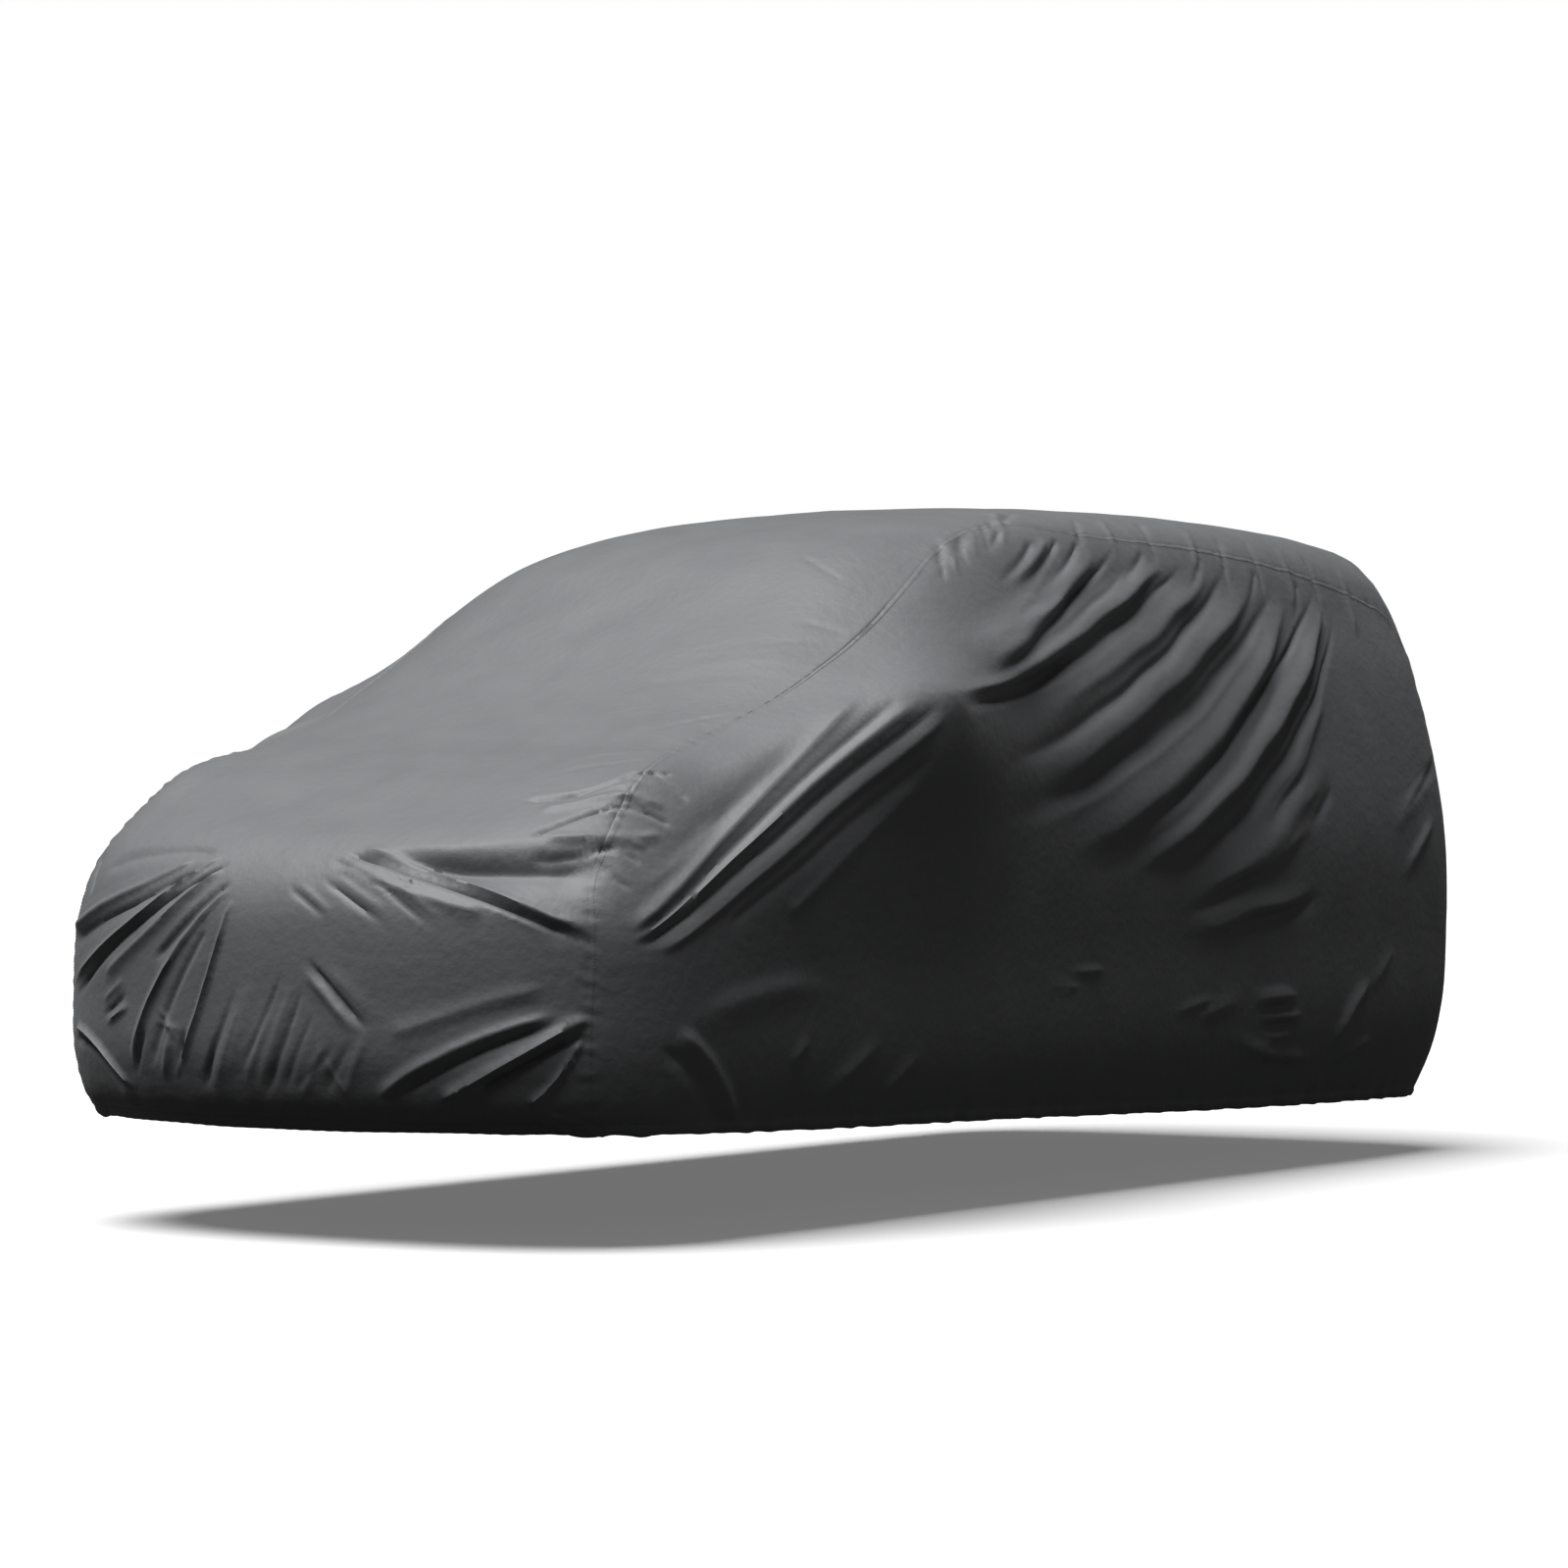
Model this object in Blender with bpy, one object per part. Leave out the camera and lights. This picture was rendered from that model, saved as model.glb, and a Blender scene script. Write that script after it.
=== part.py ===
"""A fitted outdoor cover of satin polyester, standing in the form that it is stretched over.

Three panels are sewn together: one long strip that runs up the front, over the top and down the
back, and a panel on each side. Metres, +Z up. In the tables z is the height above the ground,
y grows to the back from a line 0.67 m behind the foremost point, and x is half the width. The
finished part is moved so that its origin lies on the rest under the roof, which holds it up.
"""

import collections
import functools
import math
import random

import bpy
import numpy as np
from mathutils.geometry import delaunay_2d_cdt

CLOTH = 0.002            # thickness of the sheet
SEAM_GAP = 0.0006        # between two panels' edges
SEAM_STEP = 0.060        # spacing of points along a seam
HEM_STEP = 0.060         # spacing of points along the hem
GRID_STEP = 0.19         # spacing of points where the cloth is smooth
FOLD_STEP = 0.15         # spacing of points along a fold
CLOSE = 0.024            # no free point lies nearer than this to a fold or an edge
BOLD = 0.012             # a fold higher than this has lines at its feet too
FINE_STEP = 0.010        # spacing of points where distances to an edge are measured
ROW_SPACING = 0.87       # a grid row's height, in steps, and how near its points come to a line
GRID_CLEAR = 0.45
FORM_ERROR = 0.0070      # how far a facet may stray from the form
REFINEMENTS = 4          # times that a panel's mesh gains points where facets stray
REST_Y = 1.70            # how far back the rest under the roof lies

# Height of the top across the cover: one row for each section from front to back.
TOP_X = np.array([0.0, 0.30, 0.50, 0.62, 0.74, 0.90])
TOP = np.array([
    # y,    z at x = 0, 0.30,  0.50,  0.62,  0.74,  0.90
    [-0.80, 0.700, 0.690, 0.670, 0.640, 0.590, 0.480],
    [-0.62, 0.780, 0.772, 0.750, 0.720, 0.650, 0.520],
    [-0.42, 0.865, 0.860, 0.845, 0.815, 0.700, 0.560],
    [-0.23, 0.950, 0.945, 0.940, 0.925, 0.800, 0.650],
    [0.00, 1.030, 1.025, 1.015, 0.985, 0.930, 0.800],
    [0.20, 1.115, 1.110, 1.090, 1.060, 1.030, 0.960],
    [0.47, 1.280, 1.275, 1.245, 1.195, 1.150, 1.135],
    [0.70, 1.430, 1.420, 1.380, 1.315, 1.230, 1.150],
    [0.95, 1.510, 1.500, 1.465, 1.410, 1.310, 1.200],
    [1.25, 1.550, 1.540, 1.515, 1.460, 1.350, 1.200],
    [1.70, 1.575, 1.565, 1.535, 1.480, 1.350, 1.200],
    [2.30, 1.575, 1.568, 1.535, 1.475, 1.340, 1.200],
    [2.80, 1.550, 1.542, 1.508, 1.445, 1.300, 1.150],
    [3.10, 1.510, 1.500, 1.465, 1.400, 1.260, 1.100],
    [3.40, 1.440, 1.430, 1.395, 1.340, 1.200, 1.050],
])

# The cloth lies a little higher or lower along the right edge of the top: y, by how much.
RIGHT_EDGE = np.array([
    [-0.70, 0.010], [-0.42, 0.020], [-0.15, 0.020], [0.05, 0.008], [0.25, -0.010],
    [0.50, -0.014], [0.75, -0.004], [1.00, -0.012], [1.40, -0.008], [1.90, 0.000],
])
RIGHT_EDGE_X = (0.10, 0.60)      # where it starts and where it is full

# Half width of the sides: one row for each section from front to back.
SIDE_Z = np.array([0.14, 0.30, 0.55, 0.80, 1.00, 1.20, 1.40, 1.60])
SIDE = np.array([
    # y,    x at z = 0.14, 0.30, 0.55,  0.80,  1.00,  1.20,  1.40,  1.60
    [-0.60, 0.675, 0.724, 0.746, 0.720, 0.700, 0.650, 0.600, 0.550],
    [-0.30, 0.715, 0.770, 0.785, 0.760, 0.720, 0.680, 0.640, 0.600],
    [0.00, 0.735, 0.785, 0.800, 0.805, 0.760, 0.720, 0.680, 0.640],
    [0.47, 0.745, 0.790, 0.805, 0.820, 0.835, 0.790, 0.730, 0.680],
    [0.80, 0.745, 0.790, 0.805, 0.815, 0.810, 0.760, 0.680, 0.620],
    [1.20, 0.745, 0.790, 0.805, 0.810, 0.785, 0.720, 0.630, 0.580],
    [1.80, 0.745, 0.790, 0.805, 0.805, 0.770, 0.710, 0.630, 0.570],
    [2.40, 0.740, 0.790, 0.805, 0.800, 0.760, 0.700, 0.620, 0.560],
    [2.80, 0.725, 0.780, 0.795, 0.785, 0.745, 0.685, 0.600, 0.540],
    [3.20, 0.685, 0.740, 0.760, 0.750, 0.710, 0.650, 0.570, 0.510],
])

# The front and the back in the middle (z, y), and how far they fall back to the sides (x, by).
FRONT = np.array([
    [0.10, -0.480], [0.20, -0.560], [0.27, -0.640], [0.34, -0.668], [0.50, -0.674],
    [0.68, -0.655], [0.78, -0.630], [0.90, -0.560], [1.10, -0.400],
])
FRONT_PLAN = np.array([
    [0.00, 0.000], [0.25, 0.012], [0.45, 0.050], [0.60, 0.115], [0.70, 0.185], [0.78, 0.270],
    [0.90, 0.450],
])
BACK = np.array([
    [0.10, 2.990], [0.20, 3.050], [0.35, 3.100], [0.60, 3.130], [0.90, 3.130], [1.15, 3.110],
    [1.35, 3.095], [1.50, 3.075], [1.60, 3.060],
])
BACK_PLAN = np.array([
    [0.00, 0.000], [0.30, 0.010], [0.50, 0.030], [0.65, 0.068], [0.74, 0.112], [0.82, 0.190],
    [0.90, 0.310],
])
TOP_ROUND, FRONT_ROUND, BACK_ROUND = 0.10, 0.12, 0.14   # softness of the form's edges

# Each ear is a tent of cloth over a point that stands out of the side: y, z, how far out.
EARS = {"left": (0.53, 1.105, 0.060), "right": (0.52, 1.075, 0.038)}
EAR_REACH = {"front": 0.62, "back": 0.50, "up": 0.22, "down": 0.60}
EAR_BLUNT = 0.05         # roundness of its tip, as a share of its reach
EAR_HOLLOW = 1.7         # above 1 its sides are hollow
EAR_LIFT = 0.3           # how much of it lifts the top too

# The seam between the strip and a side panel, from the front hem up, back and down.
SEAM_UP = np.array([    # z, x: up the front corner
    [0.226, 0.655], [0.350, 0.672], [0.500, 0.680], [0.620, 0.678], [0.740, 0.655],
])
SEAM_ALONG = np.array([  # y, x: along the top edge
    [-0.340, 0.630], [-0.230, 0.605], [0.000, 0.565], [0.200, 0.590], [0.330, 0.612],
    [0.470, 0.620], [0.740, 0.600], [0.930, 0.560], [1.220, 0.520], [1.500, 0.560],
    [1.950, 0.580], [2.300, 0.590], [2.600, 0.600], [2.900, 0.610],
])
SEAM_DOWN = np.array([   # z, x: down the back corner
    [1.200, 0.645], [0.900, 0.695], [0.600, 0.710], [0.350, 0.700], [0.134, 0.655],
])

SEAM_SMOOTHINGS = 3

# The hem: y, z along the side, and its height across the front and the back.
HEM = np.array([
    [-0.60, 0.226], [-0.30, 0.222], [0.00, 0.212], [0.35, 0.202], [0.90, 0.188], [1.40, 0.172],
    [1.87, 0.158], [2.30, 0.148], [2.90, 0.138], [3.20, 0.132],
])
HEM_FRONT, HEM_BACK = 0.226, 0.148
HEM_CORNER = (0.40, 0.65)    # between these x it runs over to the seam's end

# Points well inside the form, from which rays find its top, front, back and sides.
INSIDE = {"top": 0.60, "front": -0.30, "back": 2.70, "side": 0.20}
RAY_REACH, RAY_HALVINGS = 1.6, 22

# Folds. Each row: where it starts, where it ends, how far its middle bows to the left of that
# line, its half width and its height (a trough is below zero).
FOLD_FADE = 0.16         # share of a fold's length over which each end fades
FOLD_FOOT = 1.25         # where its feet lie, in half widths from its crest
SIDE_FOLDS = [   # y, z, y, z, bow, width, height: from the roof seam down towards the ear
    (1.50, 1.440, 0.78, 1.125, 0.015, 0.024, -0.014),
    (1.78, 1.420, 0.88, 1.135, 0.010, 0.036, 0.018),
    (1.90, 1.420, 0.72, 1.100, 0.060, 0.030, -0.020),
    (2.02, 1.420, 0.85, 1.040, 0.060, 0.036, 0.017),
    (2.12, 1.410, 0.80, 0.960, 0.075, 0.032, -0.016),
    (2.22, 1.400, 0.90, 0.880, 0.060, 0.038, 0.017),
    (2.36, 1.370, 0.82, 0.800, 0.130, 0.036, -0.016),
    (2.42, 1.360, 1.40, 0.730, 0.090, 0.030, 0.016),
    (2.47, 1.330, 1.30, 0.690, 0.170, 0.030, -0.013),
    (2.42, 1.120, 1.45, 0.640, 0.100, 0.030, 0.009),
    (2.32, 0.900, 1.45, 0.590, 0.050, 0.030, -0.009),
    (2.35, 0.800, 1.55, 0.570, 0.040, 0.026, 0.007),
    (2.46, 1.350, 2.26, 1.080, 0.000, 0.020, -0.010),
    (1.33, 1.455, 1.12, 1.385, 0.000, 0.016, -0.011),
    (2.84, 0.990, 2.62, 0.800, 0.000, 0.018, 0.007),
    (2.50, 0.450, 2.30, 0.270, -0.010, 0.016, 0.007),
    (2.10, 0.390, 1.92, 0.395, 0.000, 0.018, 0.008),
    (-0.34, 0.420, -0.12, 0.215, 0.000, 0.018, 0.009),
    (-0.26, 0.430, 0.24, 0.450, 0.060, 0.026, 0.005),
]
EAR_FOLDS = [    # y, z, y, z, bow, width, height: taut from the ear down to the front corner
    (0.25, 1.060, -0.33, 0.700, 0.000, 0.034, -0.011),
    (0.42, 1.100, -0.37, 0.640, 0.000, 0.022, 0.019),
    (0.38, 1.072, -0.34, 0.629, 0.000, 0.013, -0.017),
    (0.50, 1.095, -0.37, 0.617, 0.000, 0.014, 0.020),
    (0.53, 1.060, -0.34, 0.604, 0.000, 0.015, -0.019),
    (0.47, 1.000, -0.26, 0.612, 0.000, 0.020, 0.011),
    (0.42, 0.900, 0.02, 0.680, 0.000, 0.022, 0.007),
]
FRONT_FOLDS = [  # x, z, x, z, bow, width, height
    (0.20, 0.770, 0.69, 0.592, 0.030, 0.011, -0.021),
    (0.25, 0.787, 0.70, 0.610, 0.030, 0.020, 0.019),
    (0.14, 0.778, 0.62, 0.762, 0.004, 0.020, -0.016),
    (0.20, 0.752, 0.60, 0.602, 0.030, 0.022, 0.008),
    (0.05, 0.717, 0.13, 0.660, 0.000, 0.009, -0.008),
    (0.16, 0.722, 0.28, 0.652, 0.000, 0.010, -0.011),
    (0.19, 0.728, 0.31, 0.660, 0.000, 0.011, 0.009),
    (0.20, 0.768, 0.32, 0.703, 0.000, 0.010, -0.010),
    (-0.11, 0.770, -0.62, 0.640, 0.000, 0.018, 0.015),
    (-0.25, 0.705, -0.62, 0.608, 0.000, 0.013, -0.015),
    (-0.14, 0.752, -0.62, 0.545, 0.000, 0.016, 0.014),
    (-0.12, 0.750, -0.62, 0.495, 0.000, 0.014, -0.019),
    (0.11, 0.562, 0.27, 0.428, 0.000, 0.010, -0.017),
    (0.115, 0.582, 0.29, 0.440, 0.000, 0.013, 0.011),
    (0.085, 0.550, 0.015, 0.300, 0.012, 0.013, -0.009),
    (-0.28, 0.580, -0.385, 0.350, 0.012, 0.015, 0.015),
    (-0.24, 0.550, -0.345, 0.350, 0.010, 0.014, -0.011),
    (-0.125, 0.600, -0.23, 0.380, 0.010, 0.015, 0.013),
    (-0.15, 0.560, -0.262, 0.340, 0.008, 0.013, -0.013),
    (-0.115, 0.480, -0.175, 0.300, 0.004, 0.014, -0.011),
    (-0.085, 0.520, -0.130, 0.300, 0.004, 0.015, 0.009),
    (-0.30, 0.410, -0.315, 0.320, 0.000, 0.018, 0.014),
    (-0.59, 0.395, -0.42, 0.305, 0.000, 0.014, 0.012),
    (0.28, 0.295, 0.50, 0.402, 0.010, 0.020, 0.012),
    (0.42, 0.295, 0.685, 0.458, 0.004, 0.017, 0.021),
    (0.47, 0.292, 0.675, 0.428, -0.004, 0.015, -0.017),
    (0.34, 0.297, 0.60, 0.425, 0.006, 0.015, -0.009),
    (0.575, 0.290, 0.675, 0.415, -0.010, 0.013, 0.009),
]
TOP_FOLDS = [    # x, y, x, y, bow, width, height
    (0.30, -0.420, 0.585, -0.270, 0.020, 0.013, -0.013),
    (0.33, -0.395, 0.600, -0.225, 0.020, 0.020, 0.010),
    (0.565, -0.300, 0.610, -0.190, 0.000, 0.013, -0.012),
    (0.46, -0.445, 0.69, -0.290, 0.020, 0.013, -0.016),
    (0.46, -0.480, 0.64, -0.395, 0.020, 0.020, 0.013),
]
BACK_FOLDS = [   # x, z, x, z, bow, width, height
    (0.56, 1.300, 0.10, 0.700, -0.050, 0.030, 0.014),
    (0.50, 1.330, -0.05, 0.820, -0.040, 0.026, -0.012),
    (-0.57, 1.290, -0.16, 0.640, 0.050, 0.032, 0.013),
    (-0.49, 1.320, 0.02, 0.900, 0.040, 0.026, -0.011),
    (0.62, 0.900, 0.30, 0.420, -0.030, 0.028, 0.012),
    (-0.63, 0.860, -0.28, 0.400, 0.030, 0.026, 0.012),
    (0.40, 0.470, 0.44, 0.210, 0.000, 0.020, 0.010),
    (0.12, 0.440, 0.10, 0.200, 0.000, 0.022, 0.010),
    (-0.20, 0.450, -0.17, 0.200, 0.000, 0.020, 0.009),
    (-0.46, 0.420, -0.50, 0.210, 0.000, 0.020, 0.010),
]
# The far side hangs in its own way: the same number of sweeps, shifted and softened by chance.
FAR_SEED, FAR_SHIFT, FAR_HEIGHT = 11, 0.045, (0.65, 1.05)

# Small gathers where the elastic draws the hem in: their spacing, height and how far they rise.
# Two waves, the first slowed and hurried in turn, make them uneven.
GATHER_LENGTH, GATHER_HEIGHT, GATHER_RISE = 0.125, 0.006, 0.12
GATHER_SWAY, GATHER_SWAY_RATE = 1.3, 0.37
GATHER_SECOND, GATHER_SECOND_RATE = 0.5, 1.7

CLOTH_COLOUR = (0.105, 0.108, 0.113, 1.0)
CLOTH_ROUGHNESS = 0.52
SHARP_ANGLE = math.radians(60)


def clear_scene():
    for item in list(bpy.data.objects):
        bpy.data.objects.remove(item, do_unlink=True)


# ------------------------------------------------------------------------------ the form

def curve(places, values, at):
    """A smooth curve through a table's rows, held level past its ends. Values may be a grid
    with one column for each point asked for."""
    at = np.asarray(at, float)
    row = np.clip(np.searchsorted(places, at, side="right") - 1, 0, len(places) - 2)
    step = places[row + 1] - places[row]
    u = np.clip((at - places[row]) / step, 0, 1)
    slopes = np.gradient(values, places, axis=0)
    if values.ndim == 1:
        low, high = (row,), (row + 1,)
    else:
        column = np.arange(values.shape[1])
        low, high = (row, column), (row + 1, column)
    rise = u * u * (3 - 2 * u)
    return (
        values[low] * (1 - rise) + values[high] * rise
        + slopes[low] * step * u * (1 - u) ** 2 - slopes[high] * step * u * u * (1 - u)
    )


def sections(rows, levels, along, across):
    columns = np.array([curve(rows[:, 0], rows[:, k + 1], along) for k in range(len(levels))])
    return curve(levels, columns, across)


def smooth_max(a, b, softness):
    near = np.maximum(softness - np.abs(a - b), 0) / softness
    return np.maximum(a, b) + near * near * softness / 4


def ear(y, z, place):
    """How far the cloth stands out around an ear: a tent with straight, slightly hollow sides."""
    at_y, at_z, out = place
    dy, dz = y - at_y, z - at_z
    reach_y = np.where(dy < 0, EAR_REACH["front"], EAR_REACH["back"])
    reach_z = np.where(dz < 0, EAR_REACH["down"], EAR_REACH["up"])
    away = np.sqrt((dy / reach_y) ** 2 + (dz / reach_z) ** 2 + EAR_BLUNT ** 2)
    return out * np.clip(1 - away, 0, 1) ** EAR_HOLLOW


def outside(points):
    """Below zero inside the form, above zero outside it."""
    x, y, z = np.abs(points[:, 0]), points[:, 1], points[:, 2]
    stands_out = np.where(points[:, 0] > 0, ear(y, z, EARS["left"]), ear(y, z, EARS["right"]))
    top = z - sections(TOP, TOP_X, y, x) - EAR_LIFT * stands_out
    right = np.interp(-points[:, 0], RIGHT_EDGE_X, [0, 1])
    top = top - right * curve(RIGHT_EDGE[:, 0], RIGHT_EDGE[:, 1], y)
    side = x - sections(SIDE, SIDE_Z, y, z) - stands_out
    front = curve(FRONT[:, 0], FRONT[:, 1], z) + curve(FRONT_PLAN[:, 0], FRONT_PLAN[:, 1], x) - y
    back = y - curve(BACK[:, 0], BACK[:, 1], z) + curve(BACK_PLAN[:, 0], BACK_PLAN[:, 1], x)
    form = smooth_max(top, side, TOP_ROUND)
    form = smooth_max(form, front, FRONT_ROUND)
    return smooth_max(form, back, BACK_ROUND)


def meet(starts, ways):
    """Where rays from inside the form leave it."""
    low, high = np.zeros(len(starts)), np.full(len(starts), RAY_REACH)
    for _ in range(RAY_HALVINGS):
        middle = (low + high) / 2
        out = outside(starts + middle[:, None] * ways) > 0
        high = np.where(out, middle, high)
        low = np.where(out, low, middle)
    return starts + high[:, None] * ways


def normals_of(points):
    step = 0.002
    slopes = [outside(points + step * axis) - outside(points - step * axis) for axis in np.eye(3)]
    slopes = np.stack(slopes, 1)
    return slopes / np.linalg.norm(slopes, axis=1)[:, None]


def columns(*values):
    return np.stack(np.broadcast_arrays(*values), 1).astype(float)


def top_at(x, y):
    return meet(columns(x, y, INSIDE["top"]), columns(0 * x, 0, 1))


def front_at(x, z):
    return meet(columns(x, INSIDE["front"], z), columns(0 * x, -1, 0))


def back_at(x, z):
    return meet(columns(x, INSIDE["back"], z), columns(0 * x, 1, 0))


def side_at(y, z, hand):
    return meet(columns(hand * INSIDE["side"], y, z), columns(hand, 0 * y, 0))


# --------------------------------------------------------- flat patterns, laid onto the form
# The strip's pattern is (x, length along the strip). Rays leave it forwards below the front
# turn, upwards between the turns and backwards below the back turn, and fan out at the turns.
FRONT_TURN, BACK_TURN = (-0.38, 0.62), (2.70, 1.05)     # y, z
TURN_LENGTH = 0.34
TOP_LENGTH = BACK_TURN[0] - FRONT_TURN[0]
# A side panel's pattern is (y, height); above the turn, height runs on along the fan.
SIDE_TURN_X = 0.42
SIDE_TURN = np.array([
    [-0.60, 0.42], [-0.42, 0.50], [-0.25, 0.70], [0.00, 0.76], [0.47, 0.93], [0.70, 1.03],
    [0.95, 1.13], [1.25, 1.20], [1.90, 1.18], [2.95, 1.08], [3.20, 1.02],
])
SIDE_TURN_LENGTH = 0.45


def strip_onto_form(pattern):
    x, along = pattern[:, 0], pattern[:, 1]
    front_angle = np.clip(along / TURN_LENGTH, 0, 1) * math.pi / 2
    back_from = TURN_LENGTH + TOP_LENGTH
    back_angle = np.clip((along - back_from) / TURN_LENGTH, 0, 1) * math.pi / 2
    over = np.clip(along - TURN_LENGTH, 0, TOP_LENGTH)
    share = over / TOP_LENGTH
    y = FRONT_TURN[0] + over
    z = FRONT_TURN[1] * (1 - share) + BACK_TURN[1] * share
    z = z + np.minimum(along, 0) - np.maximum(along - back_from - TURN_LENGTH, 0)
    way_y = np.where(along < TURN_LENGTH, -np.cos(front_angle), np.sin(back_angle))
    way_z = np.where(along < TURN_LENGTH, np.sin(front_angle), np.cos(back_angle))
    return meet(columns(x, y, z), columns(0, way_y, way_z))


def strip_pattern(points):
    x, y, z = points.T
    back_from = TURN_LENGTH + TOP_LENGTH
    front_angle = np.arctan2(z - FRONT_TURN[1], FRONT_TURN[0] - y)
    back_angle = np.arctan2(y - BACK_TURN[0], z - BACK_TURN[1])
    along = TURN_LENGTH + y - FRONT_TURN[0]
    along = np.where(y < FRONT_TURN[0], front_angle / (math.pi / 2) * TURN_LENGTH, along)
    low = (z < FRONT_TURN[1]) & (y < 1)
    along = np.where(low, z - FRONT_TURN[1], along)
    turned = back_from + back_angle / (math.pi / 2) * TURN_LENGTH
    along = np.where(y > BACK_TURN[0], turned, along)
    low = (z < BACK_TURN[1]) & (y > 2)
    along = np.where(low, back_from + TURN_LENGTH + BACK_TURN[1] - z, along)
    return columns(x, along)


def side_onto_form(pattern, hand):
    y, height = pattern[:, 0], pattern[:, 1]
    turn = curve(SIDE_TURN[:, 0], SIDE_TURN[:, 1], y)
    angle = np.clip((height - turn) / SIDE_TURN_LENGTH, 0, 1) * math.pi / 2
    starts = columns(hand * SIDE_TURN_X, y, np.minimum(height, turn))
    return meet(starts, columns(hand * np.cos(angle), 0, np.sin(angle)))


def side_pattern(points):
    x, y, z = points.T
    turn = curve(SIDE_TURN[:, 0], SIDE_TURN[:, 1], y)
    angle = np.arctan2(z - turn, np.abs(x) - SIDE_TURN_X)
    return columns(y, np.where(z < turn, z, turn + angle / (math.pi / 2) * SIDE_TURN_LENGTH))


# ------------------------------------------------------------------------ seams and hems

def spaced(points, step):
    """The same line with its points evenly spaced, about a step apart."""
    runs = np.linalg.norm(np.diff(points, axis=0), axis=1)
    reached = np.concatenate([[0], np.cumsum(runs)])
    places = np.linspace(0, reached[-1], max(2, round(reached[-1] / step) + 1))
    return np.stack([np.interp(places, reached, column) for column in points.T], 1)


def seam_line(hand):
    """The seam's points on the form, from the front hem over the top to the back hem."""
    fine = 30
    up_z = np.linspace(SEAM_UP[0, 0], SEAM_UP[-1, 0], fine)
    up_x = curve(SEAM_UP[:, 0], SEAM_UP[:, 1], up_z)
    up = front_at(hand * up_x, up_z)
    along_y = np.linspace(SEAM_ALONG[0, 0], SEAM_ALONG[-1, 0], 4 * fine)
    along_x = curve(SEAM_ALONG[:, 0], SEAM_ALONG[:, 1], along_y)
    along = top_at(hand * along_x, along_y)
    down_z = np.linspace(SEAM_DOWN[0, 0], SEAM_DOWN[-1, 0], fine)
    down_x = curve(SEAM_DOWN[::-1, 0], SEAM_DOWN[::-1, 1], down_z)
    down = back_at(hand * down_x, down_z)
    rough = spaced(np.concatenate([up, along, down]), SEAM_STEP / 2)
    for _ in range(SEAM_SMOOTHINGS):
        rough[1:-1] = (rough[:-2] + 2 * rough[1:-1] + rough[2:]) / 4
    line = spaced(rough, SEAM_STEP)
    return side_onto_form(side_pattern(line), hand)


def hem_lines(left, right):
    """The hem between the seams' ends: front and back on the strip, and one on each side."""
    lines = {}
    for name, end, height, onto in (
        ("front", 0, HEM_FRONT, front_at), ("back", -1, HEM_BACK, back_at),
    ):
        count = round((left[end, 0] - right[end, 0]) / HEM_STEP)
        x = np.linspace(right[end, 0], left[end, 0], count + 1)[1:-1]
        lines[name] = onto(x, np.interp(np.abs(x), HEM_CORNER, [height, left[end, 2]]))
    for hand, seam in ((1, left), (-1, right)):
        count = round((seam[-1, 1] - seam[0, 1]) / HEM_STEP)
        y = np.linspace(seam[0, 1], seam[-1, 1], count + 1)[1:-1]
        z = curve(HEM[:, 0], HEM[:, 1], y)
        lines[hand] = side_onto_form(columns(y, z), hand)
    return lines


# --------------------------------------------------------------------------------- folds

def bowed(row, count):
    """Points along a fold in its own plane, straight or bowed to one side."""
    start, end, bow = np.array(row[0:2]), np.array(row[2:4]), row[4]
    run = end - start
    left = np.array([-run[1], run[0]]) / np.linalg.norm(run)
    u = np.linspace(0, 1, count)[:, None]
    return start + u * run + 4 * u * (1 - u) * bow * left


def fold(row, onto):
    """A fold laid onto the form: its line in space, half width and height."""
    count = max(5, 1 + round(math.dist(row[0:2], row[2:4]) / (FOLD_STEP / 2)))
    return {"line": onto(*bowed(row, count).T), "width": row[5], "height": row[6]}


def far_rows(rows, shift, chance):
    for y0, z0, y1, z1, bow, width, height in rows:
        slide = chance.uniform(-shift, shift)
        yield (
            y0 + slide, z0, y1 + 2 * slide, z1 + slide / 2, bow * chance.uniform(0.7, 1.2),
            width * chance.uniform(0.9, 1.2), height * chance.uniform(*FAR_HEIGHT),
        )


def all_folds():
    chance = random.Random(FAR_SEED)
    left_at = functools.partial(side_at, hand=1)
    right_at = functools.partial(side_at, hand=-1)
    found = [fold(row, left_at) for row in SIDE_FOLDS + EAR_FOLDS]
    found += [fold(row, right_at) for row in far_rows(SIDE_FOLDS, FAR_SHIFT, chance)]
    found += [fold(row, right_at) for row in far_rows(EAR_FOLDS, 0.0, chance)]
    found += [fold(row, front_at) for row in FRONT_FOLDS]
    found += [fold(row, top_at) for row in TOP_FOLDS]
    found += [fold(row, back_at) for row in BACK_FOLDS]
    return found


def raised(points, normals, folds):
    """How far the folds lift each point of the form along its normal."""
    total = np.zeros(len(points))
    for one in folds:
        line, width = one["line"], one["width"]
        low, high = line.min(0) - 3 * width, line.max(0) + 3 * width
        near = np.flatnonzero(((points > low) & (points < high)).all(1))
        if not len(near):
            continue
        best = np.full(len(near), np.inf)
        place = np.zeros(len(near))
        for k in range(len(line) - 1):
            run = line[k + 1] - line[k]
            u = np.clip((points[near] - line[k]) @ run / (run @ run), 0, 1)
            gap = np.linalg.norm(points[near] - line[k] - u[:, None] * run, axis=1)
            closer = gap < best
            best = np.where(closer, gap, best)
            place = np.where(closer, (k + u) / (len(line) - 1), place)
        ends = np.clip(np.minimum(place, 1 - place) / FOLD_FADE, 0, 1)
        across = np.exp(-((best / width) ** 2))
        total[near] += one["height"] * across * ends * (2 - ends)
    return total + gathers(points, normals)


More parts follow.
